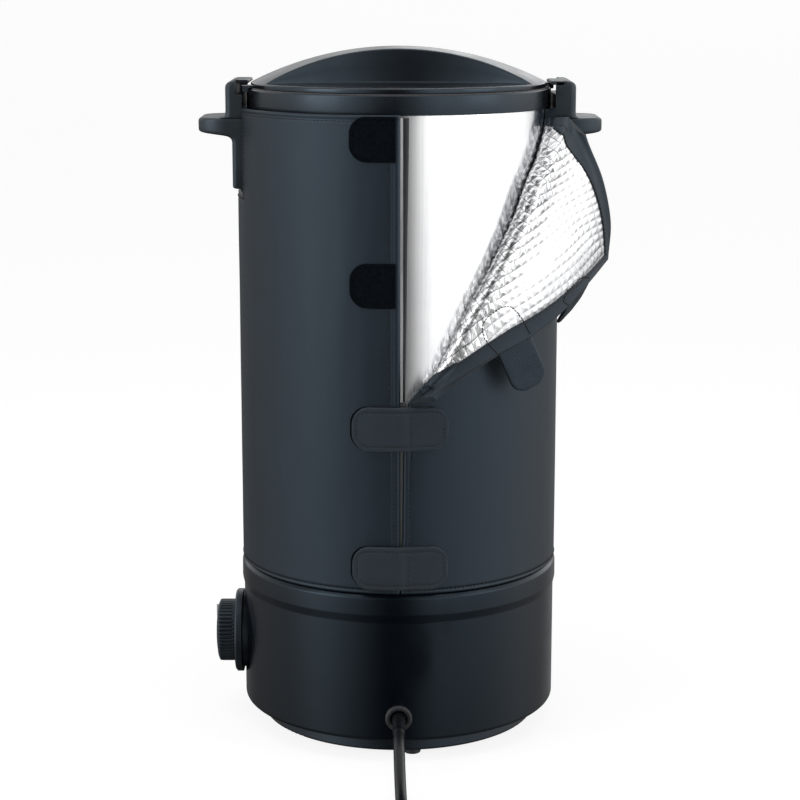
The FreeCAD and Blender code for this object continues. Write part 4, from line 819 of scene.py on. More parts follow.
# ------------------------------------------------------------------------------- mains cord
def coil_points():
    """The unseen length, wound into a neat coil: each turn moves over to the next place as it ends."""
    outer, inner = 46.0, 38.0
    low, middle, high = 4.0, 12.0, 20.0
    places = [(outer, low), (inner, low), (inner, middle), (inner, high), (outer, high), (outer, middle),
              (53.6, 8.2)]
    full_turns = 6
    turns = full_turns + 0.25
    per_turn = 20
    swell = 1 / math.cos(math.pi / per_turn) ** 0.75
    points = []
    for step in range(1, int(turns * per_turn) + 1):
        total = step / per_turn
        number = min(int(total), full_turns - 1)
        within = (total - number) * 360
        if total >= full_turns:
            spot = Vector(places[full_turns])
        else:
            start = 270 - number * 30
            share = float(smooth_step((within - start) / 90))
            spot = Vector(places[number]).lerp(Vector(places[number + 1]), share)
        angle = math.radians(180 + total * 360)
        radius, height = spot.x, spot.y
        if number == full_turns - 1:
            height += 5.2 * math.exp(-((within - 330) / 38) ** 2)
        if total > full_turns:
            height += 3.8 * float(smooth_step((total - full_turns) * 4))
        points.append((COIL_CENTRE[0] + radius * swell * math.cos(angle),
                       COIL_CENTRE[1] + radius * swell * math.sin(angle), height))
    return points


def nurbs(name, points, radius):
    """A round cord along a smooth curve that starts and ends at its first and last points."""
    curve = bpy.data.curves.new(name, "CURVE")
    curve.dimensions = "3D"
    spline = curve.splines.new("NURBS")
    spline.points.add(len(points) - 1)
    for point, place in zip(spline.points, points):
        point.co = (place[0] * MM, place[1] * MM, place[2] * MM, 1)
        point.radius = radius * MM
    spline.order_u = 3
    spline.use_endpoint_u = True
    curve.resolution_u = 8
    curve.bevel_depth = 1.0
    curve.bevel_resolution = 7
    curve.use_fill_caps = True
    piece = bpy.data.objects.new(name, curve)
    bpy.context.scene.collection.objects.link(piece)
    return piece


def centreline(piece):
    """Points along a curve's own line, in millimetres."""
    depth = piece.data.bevel_depth
    piece.data.bevel_depth = 0
    bpy.context.view_layer.update()
    graph = bpy.context.evaluated_depsgraph_get()
    mesh = bpy.data.meshes.new_from_object(piece.evaluated_get(graph))
    line = [tuple(v.co / MM) for v in mesh.vertices]
    bpy.data.meshes.remove(mesh)
    piece.data.bevel_depth = depth
    return line


def make_cord():
    """The whole mains cord as one curve, with the pieces that lie on it."""
    cord = nurbs("mains_cord", CORD_ROUTE + coil_points() + CORD_TAIL_ROUTE, CORD_RADIUS)
    cord.data.materials.append(paints["cord"])
    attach(cord, "melter")
    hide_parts("power_cord", "cord_coil", "cord_tail")
    line = centreline(cord)
    relief = strain_relief(line)
    plug = make_plug()
    pins = plug_pins()
    tie = coil_tie()


def strain_relief(line):
    """A short tapered sleeve where the cord leaves the grommet, with two shallow rings."""
    spots, _ = spaced(line[:200], 0.7)
    count = 40
    radii = []
    for index in range(count):
        share = index / (count - 1)
        radius = 4.8 - 0.54 * share
        radius -= 0.22 * (math.sin(share * math.pi * 7) > 0.55)
        if index > count - 4:
            radius -= 0.09 * (index - count + 4)
        radii.append(radius)
    start = [Vector(spot) for spot in spots[:count]]
    start[0].y += 0.6
    relief = tube("strain_relief", start, radii, 28)
    return finished(relief, "melter", paints["cord"], "black_rubber")


def plug_matrix(along=0.0, side=0.0):
    """A place on the plug, whose local up runs along the plug and out of its face."""
    x, y, z = PLUG_FOOT
    return Matrix.Translation((x + along, y + side, z)) @ Matrix.Rotation(math.radians(90), 4, "Y")


def make_plug():
    """The plug: a ribbed relief that swells into a flattened round body with grip ribs."""
    place = plug_matrix()

    def squeeze(angle, radius, up):
        if up < 20:
            return radius - (0.45 if 3 < up < 19 and math.sin(up * 1.9) > 0.2 else 0.0)
        limit = 10.3
        tall = abs(radius * math.cos(angle))
        if tall > limit:
            radius = limit / abs(math.cos(angle))
        if 27 < up < 43 and abs(math.sin(angle)) > 0.75:
            radius -= 0.5 * (0.5 + 0.5 * math.sin(up * 2.1))
        return radius

    corners = [(0, 0.0), (5.1, 0.0, 0.8)]
    corners += [(5.1 + 3.2 * (step / 16), 1.0 + 19.5 * (step / 16)) for step in range(1, 17)]
    corners += [(13.2, 23.5, 2.5)]
    corners += [(13.7, 25.0 + step * 1.0) for step in range(20)]
    corners += [(13.6, 47.4, 1.2), (12.6, 48.2, 0.4), (12.6, 51.8, 1.0), (0, 51.8)]
    plug = lathe("plug_shell", corners, 96, place, squeeze, 50)
    return finished(plug, "melter", paints["rubber"], "black_rubber", "plug_body")


def plug_pins():
    """The plug's two round pins, side by side in its face."""
    pins = []
    for number, side in enumerate((-9.5, 9.5)):
        place = plug_matrix(52.05, side)
        pins.append(lathe(f"pin_{number}", [(0, 0), (2.4, 0), (2.4, 19, 1.5), (0, 19)], 32, place))
    return finished(joined("contact_pins", *pins), "melter", paints["brass"], "pin_brass", "plug_pins")


def coil_tie():
    """A thin strap round the coil's turns, which holds them together."""
    angle = math.radians(62)
    centre = Vector((COIL_CENTRE[0] + 44 * math.cos(angle), COIL_CENTRE[1] + 44 * math.sin(angle), 12.6))
    outward = Vector((math.cos(angle), math.sin(angle), 0))
    along = Vector((-math.sin(angle), math.cos(angle), 0))
    wide, tall = 14.9, 12.5
    half_wide = 4
    power = 0.5
    sections = []
    count = 48
    for step in range(count):
        turn = 2 * math.pi * step / count
        across = wide * math.copysign(abs(math.cos(turn)) ** power, math.cos(turn))
        up = tall * math.copysign(abs(math.sin(turn)) ** power, math.sin(turn))
        rim = Vector((math.cos(turn), 0, math.sin(turn)))
        push = (outward * rim.x + Vector((0, 0, 1)) * rim.z) * 0.9
        spot = centre + outward * across + Vector((0, 0, up))
        near, far = spot - along * half_wide, spot + along * half_wide
        sections.append([near, far, far + push, near + push])
    return finished(strip("coil_tie", sections, True), "melter", paints["rubber"], "black_rubber")


make_camera()
make_cord()
make_world()
make_floor()
make_lights()


# ------------------------------------------------------------------------------- pot, collar and lid
def make_pot():
    """The pot with its floor, the collar clamped over its rim, and the lid's seal on the collar."""
    bore = POT_RADIUS - POT_WALL
    floor = POT_FOOT + POT_WALL
    wall = lathe("pot_wall", [(0, POT_FOOT), (POT_RADIUS, POT_FOOT, 6), (POT_RADIUS, POT_RIM, 0.3),
                              (bore, POT_RIM, 0.3), (bore, floor, 5), (0, floor)], 256)
    finished(wall, "melter", paints["steel"], "pot_steel", "pot", "pot_floor")
    collar = lathe("rim_collar", [(106.3, COLLAR_LOW), (107.9, COLLAR_LOW), (107.9, 470.6), (109.1, 470.6),
                                  (109.1, COLLAR_LOW), (COLLAR_RADIUS, COLLAR_LOW, 0.5),
                                  (COLLAR_RADIUS, 474.6, 1.1), (108.9, 474.6, 0.3), (108.9, 472.8),
                                  (106.3, 472.8, 0.4)], 256)
    finished(collar, "melter", paints["collar"], "collar_metal", "pot_collar")
    seal = lathe("rim_seal", [(106.6, 472.9, 0.6), (108.5, 472.9, 0.6), (108.5, 475.3, 0.9),
                              (106.6, 475.3, 0.9)], 192)
    finished(seal, "lid_lift_carrier", paints["seal"], "seal_silicone", "lid_seal")


LID_FLOOR = 479.0
LID_RADIUS = 106.4
LID_RISE = 25.2
LID_SPHERE = (LID_RADIUS ** 2 + LID_RISE ** 2) / (2 * LID_RISE)
POCKET_RADIUS = 192.0
POCKET_CENTRE = 217.0
LUG_ANGLE = 11.3


def bar_section(x):
    """The bar's outline across the lid at one place along it: walls, softened edges and domed top."""
    pocket = POCKET_CENTRE - math.sqrt(max(0.0, POCKET_RADIUS ** 2 - x * x))
    half = min(pocket, math.sqrt(max(0.0, LID_RADIUS ** 2 - x * x)))
    half = max(half, 0.02)

    def top(y):
        return LID_FLOOR + LID_RISE - LID_SPHERE + math.sqrt(LID_SPHERE ** 2 - x * x - y * y)
    tall = top(half) - LID_FLOOR
    edge = max(0.01, min(1.7, tall * 0.5, half * 0.4))
    foot = max(0.005, min(1.5, tall * 0.3))
    side = []
    for step in range(5):
        turn = math.pi / 2 * step / 4
        side.append((half + foot - foot * math.sin(turn), LID_FLOOR + foot - foot * math.cos(turn)))
    side.append((half, LID_FLOOR + (foot + tall - edge) / 2))
    for step in range(7):
        turn = math.pi / 2 * step / 6
        y = half - edge + edge * math.cos(turn)
        side.append((y, top(half - edge) - edge + edge * math.sin(turn)))
    over = [(y, top(y)) for y in np.linspace(half - edge, edge - half, 26)[1:-1]]
    section = side + over + [(-y, z) for y, z in reversed(side)]
    section = [(half + foot, LID_FLOOR - 0.6)] + section + [(-half - foot, LID_FLOOR - 0.6)]
    return [(x, y, z) for y, z in section]


def lid_lug(angle):
    """One lug on the lid's edge, which turns under the hook of a handle tower."""
    profile = soften([(104.3, 475.5), (111.6, 475.5), (111.6, 472.6, 0.4), (115.4, 472.6, 0.6),
                      (115.4, 477.2, 0.9), (104.3, 477.2)])
    turn = Matrix.Rotation(math.radians(angle), 3, "Z")
    sections = []
    for across in np.linspace(-6, 6, 9):
        ends = 0.35 if abs(across) > 5.9 else 0.0
        sections.append([turn @ Vector((math.sqrt(spot.x ** 2 - across ** 2) - (ends if spot.x > 110 else 0),
                                        across, spot.y - (ends if spot.y > 476 else 0)))
                         for spot in profile])
    return strip(f"lug_{angle:.0f}", sections)


def make_lid():
    """The lid's disc and skirt, and the domed bar that is its grip, with the two lugs."""
    places = [LID_RADIUS * math.sin(math.pi / 2 * share) for share in np.linspace(-0.998, 0.998, 181)]
    bar = strip("lid_bar", [bar_section(x) for x in places], sharp=32)
    disc = lathe("lid_disc", [(0, 475.4), (103.6, 475.4), (103.6, 466, 0.4), (105.6, 466, 0.6),
                              (105.6, 475.4, 0.4), (107.3, 475.4, 0.4), (107.3, LID_FLOOR, 1.3),
                              (0, LID_FLOOR)], 256)
    finished(disc, "lid", paints["lid_rim"], "lid_plastic", "lid_shell")
    lugs = [lid_lug(LUG_ANGLE + half_turn) for half_turn in (0, 180)]
    finished(joined("lid_cover", bar, *lugs), "lid", paints["lid"], "lid_plastic")


# ------------------------------------------------------------------------------- handles
def handle_section(level, reach, corner_x, corner_y, inset, inner):
    """The handle's outline from above at one height."""
    wide = HANDLE_HALF - inset

    def inward(y):
        if inner == "pot":
            return math.sqrt((POT_RADIUS + 0.4) ** 2 - y * y)
        return inner
    points = [(inward(y), y) for y in np.linspace(wide, -wide, 9)]
    for side, steps in ((-1, range(11)), (1, range(10, -1, -1))):
        for step in steps:
            turn = math.pi / 2 * step / 10
            points.append((reach - corner_x + corner_x * math.sin(turn),
                           side * (wide - corner_y + corner_y * math.cos(turn))))
    return [Vector((x, y, level)) for x, y in points]


def make_handle(name, node, sign, grip_more, tower_more):
    """Leg on the pot, grip ledge that thins outwards, and tower with the slot for the lid's lug.

    A level is a height, how far out it reaches, its corner's two sizes and its inset at the sides.
    """
    levels = [(403.5, 117.6, 3.2, 3.2, 1.6), (403.9, 118.7, 3.4, 3.4, 0.7), (405.0, 119.5, 3.5, 3.5, 0.0),
              (422.0, 119.5, 3.5, 3.5, 0.0), (436.8, 119.5, 3.5, 3.5, 0.0), (438.6, 119.9, 3.6, 3.6, 0.0),
              (440.0, 121.0, 4.2, 3.9, 0.0), (440.9, 123.0, 5.5, 4.8, 0.0), (441.5, 126.5, 8.0, 6.5, 0.0),
              (442.2, 133.0, 12.5, 9.0, 0.0), (442.9, 139.0, 17.0, 12.0, 0.0),
              (443.6, 142.5, 20.0, 14.0, 0.0), (444.5, 144.0, 21.0, 15.0, 0.0),
              (445.6, 144.5, 21.5, 15.5, 0.0), (451.8, 144.5, 21.5, 15.5, 0.0),
              (453.0, 144.1, 21.3, 15.3, 0.1), (453.7, 143.2, 21.0, 15.0, 0.4),
              (454.0, 141.8, 20.4, 14.4, 1.1), (454.05, 130.5, 8.0, 6.5, 1.0),
              (454.4, 128.6, 5.5, 5.0, 0.3), (455.2, 127.0, 4.6, 4.4, 0.0), (457.0, 126.1, 4.2, 4.2, 0.0),
              (460.6, 126.0, 4.2, 4.2, 0.0)]
    tower = [(460.6, 126.0, 4.2, 4.2, 0.0), (470.5, 126.0, 4.2, 4.2, 0.0)]
    top = [(470.5, 126.0, 4.2, 4.2, 0.0), (475.9, 126.0, 4.2, 4.2, 0.0), (477.6, 125.6, 4.2, 4.2, 0.1),
           (478.9, 124.6, 4.0, 4.0, 0.4), (479.8, 123.2, 3.4, 3.6, 0.9), (480.3, 121.2, 2.4, 3.0, 1.8)]

    def longer(level):
        more = tower_more if level[0] > 455 else grip_more * max(0.0, (level[1] - 121) / 23)
        return (level[0], level[1] + more, *level[2:])
    sections = [handle_section(*longer(level), "pot") for level in levels]
    sections += [handle_section(*longer(level), 112.0) for level in tower]
    sections += [handle_section(*longer(level), 117.0) for level in top]
    body = strip("handle_body", sections, sharp=38)
    end = rounded_box("end_wall", (112.0, -32.3, 470.0), (118.5, -30.0, 480.1), 0.6)
    plate = soften([(119.0, 477.75), (119.0, 480.25), (108.2, 480.3, 1.25), (108.2, 477.7, 1.25)])
    hook = strip("hook_plate", [[Vector((spot.x + (0.8 if abs(y - 12) < 0.1 or y < -32 else 0), y, spot.y))
                                 for spot in plate] for y in (-32.3, -31.5, -20, -5, 8, 11.2, 12.0)])
    handle = joined(name, body, end, hook)
    if sign < 0:
        handle.data.transform(Matrix.Rotation(math.pi, 4, "Z"))
    finished(handle, "melter", paints["handle"], "handle_plastic", node)


def rounded_box(name, low, high, radius):
    """A box between two corners, with its edges rounded."""
    work = bmesh.new()
    bmesh.ops.create_cube(work, size=1.0)
    low, high = Vector(low) * MM, Vector(high) * MM
    for vertex in work.verts:
        vertex.co = [low[axis] + (vertex.co[axis] + 0.5) * (high[axis] - low[axis]) for axis in range(3)]
    bmesh.ops.bevel(work, geom=work.edges[:], offset=radius * MM, segments=3, profile=0.5, affect="EDGES")
    mesh = bpy.data.meshes.new(name)
    work.to_mesh(mesh)
    work.free()
    mesh.shade_smooth()
    mesh.set_sharp_from_angle(angle=math.radians(40))
    piece = bpy.data.objects.new(name, mesh)
    bpy.context.scene.collection.objects.link(piece)
    return piece


# ------------------------------------------------------------------------------- jacket
def arc_at(degrees):
    """Arc length round the jacket, from the seam side, of an angle."""
    return math.radians(degrees) * JACKET_RADIUS


def on_jacket(along, height, radius=JACKET_RADIUS):
    """A point by arc length round the jacket's surface, from the seam side, and by height."""
    angle = along / JACKET_RADIUS
    return Vector((radius * math.sin(angle), -radius * math.cos(angle), height))


OPENING_EDGE = [(126, 1.7), (156, 1.9), (166, 3.0), (190, 3.1), (245, 3.6), (262, 7.0), (268, 16.5),
                (287, 34), (306, 44.7), (330, 59.2), (353, 74.7), (384, 96.2), (408, 111.7), (426, 127.2),
                (444, 141.8), (455, 149.2), (461, 149.8)]


def by_pairs(value, pairs):
    """A value's partner, read between pairs in rising order."""
    return float(np.interp(value, *zip(*pairs)))


def fold_arc(height):
    """Arc length of the opening's right-hand border: the seam below, the fold line above."""
    return by_pairs(height, OPENING_EDGE)


def fine_steps(start, stop, coarse, fine, first, last):
    """Places from start to stop, close together within 10 mm of an end that asks for it."""
    places = [start]
    here = start
    while here < stop - 1e-6:
        near = (first and here - start < 10) or (last and stop - here < 10.5)
        here = min(stop, here + (fine if near else coarse))
        if stop - here < fine * 0.5:
            here = stop
        places.append(here)
    return places


def jacket_columns():
    """Arc lengths of the columns at the seam's height; the first 100 mm slide along the fold line."""
    openings = (*HANDLE_NOTCHES[0], *TAP_SPAN, *HANDLE_NOTCHES[1])
    knots = [SEAM_RIGHT] + [arc_at(degrees) for degrees in openings] + [arc_at(360) + SEAM_LEFT]
    columns = [knots[0]]
    for index, (start, stop) in enumerate(zip(knots, knots[1:])):
        on_cloth = index % 2 == 0
        columns += fine_steps(start, stop, 3.2, 0.7, on_cloth, on_cloth)[1:]
    return knots, columns


def edge_roll(distance, round_over=2.4, seam=5.2):
    """How far the outer face sinks near a bound edge: rolled over at the rim, nipped at the sewn line."""
    return round_over * rim_drop(distance / round_over) + 0.5 * math.exp(-((distance - seam) / 0.8) ** 2)


def cloth_edges(arc, start, height, z, knots):
    """How far a point of the jacket is from each bound edge near it, apart from the two hems."""
    tap_left, tap_right = knots[3], knots[4]
    near = [arc_at(360) + SEAM_LEFT - arc]
    if height < OPENING_LOW:
        near.append(arc - start + 0.2)
    if z > NOTCH_LOW - 8:
        for left, right in ((knots[1], knots[2]), (knots[5], knots[6])):
            aside = max(left - arc, arc - right, 0.0)
            near.append(math.hypot(aside, max(0.0, NOTCH_LOW - z)))
    if abs(arc - (tap_left + tap_right) / 2) < TAP_NOTCH + 10 and z < TAP_Z + TAP_NOTCH + 10:
        side = JACKET_RADIUS * math.sin(math.pi - arc / JACKET_RADIUS)
        near.append(max(0.0, math.hypot(side, max(0.0, z - TAP_Z)) - TAP_NOTCH))
    return near


def make_jacket():
    """The jacket's padded shell, with its handle notches and tap notch, and the foil on its inner face."""
    knots, columns = jacket_columns()
    rows = fine_steps(JACKET_LOW, NOTCH_LOW, 3.0, 0.7, True, False)
    rows += fine_steps(NOTCH_LOW, JACKET_HIGH, 3.0, 0.7, False, True)[1:]
    rows = sorted(set(rows + [TAP_Z + TAP_NOTCH]))
    count_rows, count_columns = len(rows), len(columns)
    outer = np.zeros((count_columns, count_rows, 3))
    inner = np.zeros((count_columns, count_rows, 3))
    tap_left, tap_right = knots[3], knots[4]
    for i, along in enumerate(columns):
        for j, height in enumerate(rows):
            start = fold_arc(height)
            arc = along
            if along < knots[1]:
                share = (along - SEAM_RIGHT) / (knots[1] - SEAM_RIGHT)
                arc = start + share * (knots[1] - start)
            z = height
            if tap_left < along < tap_right:
                side = JACKET_RADIUS * math.sin(math.pi - along / JACKET_RADIUS)
                z = max(z, TAP_Z + math.sqrt(max(0.0, TAP_NOTCH ** 2 - side ** 2)))
            near = cloth_edges(arc, start, height, z, knots)
            hems = [edge_roll(z - JACKET_LOW, 1.0, 3.0), edge_roll(JACKET_HIGH - z, 1.2, 3.0)]
            sunk = max([edge_roll(distance) for distance in near] + hems)
            angle = arc / JACKET_RADIUS
            soft = (0.5 * wavy(3.2 * math.cos(angle), 3.2 * math.sin(angle), z * 0.004)
                    + 0.3 * wavy(11 * math.cos(angle), 11 * math.sin(angle), z * 0.02, 9.0))
            raised = 1.2 * float(smooth_step((z - 452) / 8))
            outer[i, j] = on_jacket(arc, z + raised, 117.5 + 0.55 * soft - sunk)
            inner[i, j] = on_jacket(arc, z - 2.5 * raised, 109.6)
    keep = np.ones((count_columns - 1, count_rows - 1), bool)
    for i in range(count_columns - 1):
        middle = (columns[i] + columns[i + 1]) / 2
        in_notch = knots[1] < middle < knots[2] or knots[5] < middle < knots[6]
        tall = np.abs(np.diff(outer[i:i + 2, :, 2], axis=1)).sum(axis=0)
        for j in range(count_rows - 1):
            if rows[j] >= NOTCH_LOW - 0.01 and in_notch:
                keep[i, j] = False
            if tap_left < middle < tap_right and (rows[j] < TAP_Z or tall[j] < 1e-6):
                keep[i, j] = False
    shell = slab("jacket_shell", outer, inner, keep, sharp=60)
    shell.data.materials.append(paints["jacket"])
    shell.data.materials.append(paints["lining"])
    for face in shell.data.polygons:
        middle = face.center
        if math.hypot(middle.x, middle.y) < 109.65 * MM:
            face.material_index = 1
    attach(shell, "melter")
    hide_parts("jacket_body")
    make_seam_details()


def jacket_line(points, radius=117.6):
    """A dense line on the jacket's face through points of (arc, height)."""
    line = []
    for (a, low), (b, high) in zip(points, points[1:]):
        steps = max(2, int(math.hypot(b - a, high - low) / 2))
        for step in range(steps):
            share = step / steps
            line.append(on_jacket(a + (b - a) * share, low + (high - low) * share, radius))
    line.append(on_jacket(*points[-1], radius))
    return line


def seam_slab(name, arcs, heights, radius):
    """A thin upright strip under the seam, its free edge a little wavy."""
    outer = np.zeros((len(arcs), len(heights), 3))
    inner = np.zeros_like(outer)
    for i, arc in enumerate(arcs):
        for j, height in enumerate(heights):
            wave = 0.25 * wavy(arc * 0.05, height * 0.02, 3.0)
            along = arc * JACKET_RADIUS / radius + (wave if arc > -2 else 0)
            outer[i, j] = on_jacket(along, height, radius + wave * 0.5)
            inner[i, j] = on_jacket(along, height, radius - 0.8)
    return slab(name, outer, inner)


def make_seam_details():
    """Rows of stitches along the jacket's bound edges, the foil lip that peeps out at the seam, and a dark
    strip of painted shade beside it.
    """
    top, low = JACKET_HIGH - 3.0, JACKET_LOW + 3.0
    turn = arc_at(360)
    notches = [[arc_at(degrees) for degrees in notch] for notch in HANDLE_NOTCHES]
    tap_left, tap_right = [arc_at(degrees) for degrees in TAP_SPAN]
    lines = [jacket_line([(SEAM_LEFT - 8.4, 268), (SEAM_LEFT - 8.4, top)], 117.75),
             jacket_line([(SEAM_LEFT - 4.7, low), (SEAM_LEFT - 4.7, 258)], 117.6),
             jacket_line([(7.0, low), (7.6, 200), (9.2, 236)], 117.6),
             jacket_line([(SEAM_LEFT - 8.4, top), (notches[1][1] + 8 - turn, top)], 117.65),
             jacket_line([(notches[1][0] - 6, top), (notches[0][1] + 6, top)], 117.65),
             jacket_line([(10, low), (tap_left - 6, low)], 117.65),
             jacket_line([(tap_right + 6, low), (turn - 5, low)], 117.65)]
    low_z = NOTCH_LOW - 5
    left, right = notches[1][0] - 5, notches[1][1] + 5
    lines.append(jacket_line([(left, top), (left, low_z), (right, low_z), (right, top)], 117.65))
    left, right = notches[0][0] - 3, notches[0][1] + 5
    lines.append(jacket_line([(left, low_z), (right, low_z), (right, top)], 117.65))
    thread = stitches("jacket_stitches", lines)
    finished(thread, "melter", paints["thread"], "jacket_fabric")
    heights = np.linspace(263, 459.5, 90)
    lip = seam_slab("seam_lip", (-22.0, -12.0, -4.0, 0.5, 1.6, 2.4, 2.9), heights, 110.9)
    finished(lip, "melter", paints["lip"], "foil_lining")
    low_lip = seam_slab("seam_low_lip", (-1.0, 0.4, 1.0, 1.6, 2.2, 2.6), np.linspace(152, 262.5, 50),
                        115.1)
    finished(low_lip, "melter", paints["low_lip"], "foil_lining")
    # painted shade: a dark cloth strip beside the foil lip, standing in for the shaded gap at the seam
    shares = np.linspace(0, 1, 7)
    outer = np.zeros((len(shares), len(heights), 3))
    inner = np.zeros_like(outer)
    for i, share in enumerate(shares):
        for j, height in enumerate(heights):
            wide = by_pairs(height, [(263, 1.4), (320, 2.4), (459.5, 4.1)])
            wide += 0.2 * wavy(height * 0.015, 4.0, 1.0)
            bulge = 0.5 * math.sin(math.pi * share)
            along = (2.95 + wide * share) * JACKET_RADIUS / 110.2
            outer[i, j] = on_jacket(along, height, 109.9 + bulge)
            inner[i, j] = on_jacket(along, height, 109.3)
    shade_strip = slab("seam_inner_hem", outer, inner)
    finished(shade_strip, "melter", paints["inner_hem"], "jacket_fabric")


# ------------------------------------------------------------------------------- folded panel
def smooth_between(points, place):
    """Catmull-Rom through points, at a place counted in points."""
    last = len(points) - 1
    index = min(int(place), last - 1)
    share = place - index
    a = Vector(points[index]) * 2 - Vector(points[index + 1]) if index == 0 else Vector(points[index - 1])
    b, c = Vector(points[index]), Vector(points[index + 1])
    d = Vector(points[index + 2]) if index + 2 <= last else c * 2 - b
    return (b * 2 + (c - a) * share + (a * 2 - b * 5 + c * 4 - d) * share ** 2
            + (b * 3 - a - c * 3 + d) * share ** 3) * 0.5


def free_edge(place):
    """A point of the panel's free edge: the seam side up to its corner, then the top side."""
    if place <= EDGE_CORNER:
        return smooth_between(FREE_EDGE[:EDGE_CORNER + 1], place)
    return smooth_between(FREE_EDGE[EDGE_CORNER:], place - EDGE_CORNER)


def fold_place(place):
    """A point of the fold: its arc length and its height."""
    return smooth_between([(a, z, 0) for a, z in FOLD_LINE], place)


def flat_places(places, share, total):
    """Where each point of the panel lies when it is shut: its row, mirrored over the fold's mean line."""
    first, last = fold_place(0), fold_place(LAST_PLACE)
    line = np.array([last.x - first.x, last.y - first.y])
    line /= np.linalg.norm(line)
    flat = np.zeros((*share.shape, 2))
    for i, place in enumerate(places):
        fold, edge = fold_place(place), free_edge(place)
        angle = math.atan2(edge.x, -edge.y)
        way = np.array([angle * JACKET_RADIUS - fold.x, edge.z - fold.y])
        way /= np.linalg.norm(way)
        shut = 2 * line.dot(way) * line - way
        flat[i] = np.array([fold.x, fold.y]) + shut[None, :] * (share[i] * total[i])[:, None]
    return flat


ROLL = 7.7
ROLL_STEPS = 13
ROLL_START = 121.9
QUILT = 5.8
CLEAR_OF_JACKET = 118.3


def roll_at(place):
    """Where a row starts on the fold, how far it reaches to the free edge, and its roll's radius there."""
    fold = fold_place(place)
    start = on_jacket(fold.x, fold.y, ROLL_START)
    reach = (free_edge(place) - start).length
    return fold, start, reach, min(ROLL, 0.42 * reach)


def panel_row(place, count):
    """One row of the folded panel, from inside the roll to the free edge.

    Each point comes with its outward direction, its share of the row's length and that length.
    """
    fold, start, reach, roll = roll_at(place)
    edge = free_edge(place)
    centre_arc = fold.x + roll
    hub_radius = 117.7
    hub = on_jacket(centre_arc, fold.y, hub_radius)
    row = []
    for step in range(ROLL_STEPS):
        turn = math.radians(-85 + 170 * step / (ROLL_STEPS - 1))
        along = centre_arc - roll * math.cos(turn)
        spot = on_jacket(along, fold.y, hub_radius + roll * math.sin(turn) * (ROLL - 0.1) / ROLL)
        row.append((spot, (spot - hub).normalized()))
    first_share = min(0.6, (roll + 2.0) / reach)
    first_radius = math.hypot(start.x, start.y)
    last_radius = math.hypot(edge.x, edge.y)
    for step in range(count):
        share = first_share + (1 - first_share) * step / (count - 1)
        flat = start + (edge - start) * share
        away = Vector((flat.x, flat.y, 0)).normalized()
        radius = first_radius + (last_radius - first_radius) * share ** 1.4
        spot = away * (radius + 3.5) + Vector((0, 0, flat.z))
        row.append((spot, away))
    reaches = [0.0]
    for (a, _), (b, _) in zip(row, row[1:]):
        reaches.append(reaches[-1] + (b - a).length)
    total = reaches[-1]
    return [(spot, away, reached / total, total) for (spot, away), reached in zip(row, reaches)]


def quilt_puff(flat, quilt):
    """How far each point of the quilting stands up: cells unevenly plump, tilted and creased."""
    puff = np.zeros(quilt.shape)
    for i, j in np.ndindex(quilt.shape):
        u, v = flat[i, j]
        cell_u, cell_v = math.floor(u / QUILT), math.floor(v / QUILT)
        off_u, off_v = u / QUILT - cell_u - 0.5, v / QUILT - cell_v - 0.5
        plump = 0.72 + 0.5 * wavy(cell_u * 0.63, cell_v * 0.57, 1.5)
        tilt = 0.35 * wavy(cell_u * 1.7, cell_v * 1.9, 5.0) * off_u
        tilt += 0.35 * wavy(cell_u * 2.3, cell_v * 1.3, 8.0) * off_v
        crease = 0.16 * wavy(u * 0.55, v * 0.55, 2.0) + 0.1 * wavy(u * 1.6, v * 1.5, 4.0)
        peak = 1 - 2 * max(abs(off_u), abs(off_v))
        rise = 0.55 * peak + 0.45 * quilt[i, j] ** 0.75
        puff[i, j] = plump * rise + tilt * quilt[i, j] + crease * quilt[i, j] ** 0.3
    return puff


def outward_normals(face, away):
    """The grid's normals, each on the side that its outward direction points to."""
    normal = np.cross(np.gradient(face, axis=1), np.gradient(face, axis=0))
    normal /= np.maximum(np.linalg.norm(normal, axis=2, keepdims=True), 1e-9)
    side = np.sign(np.sum(normal * away, axis=2, keepdims=True))
    side[side == 0] = 1
    return normal * side


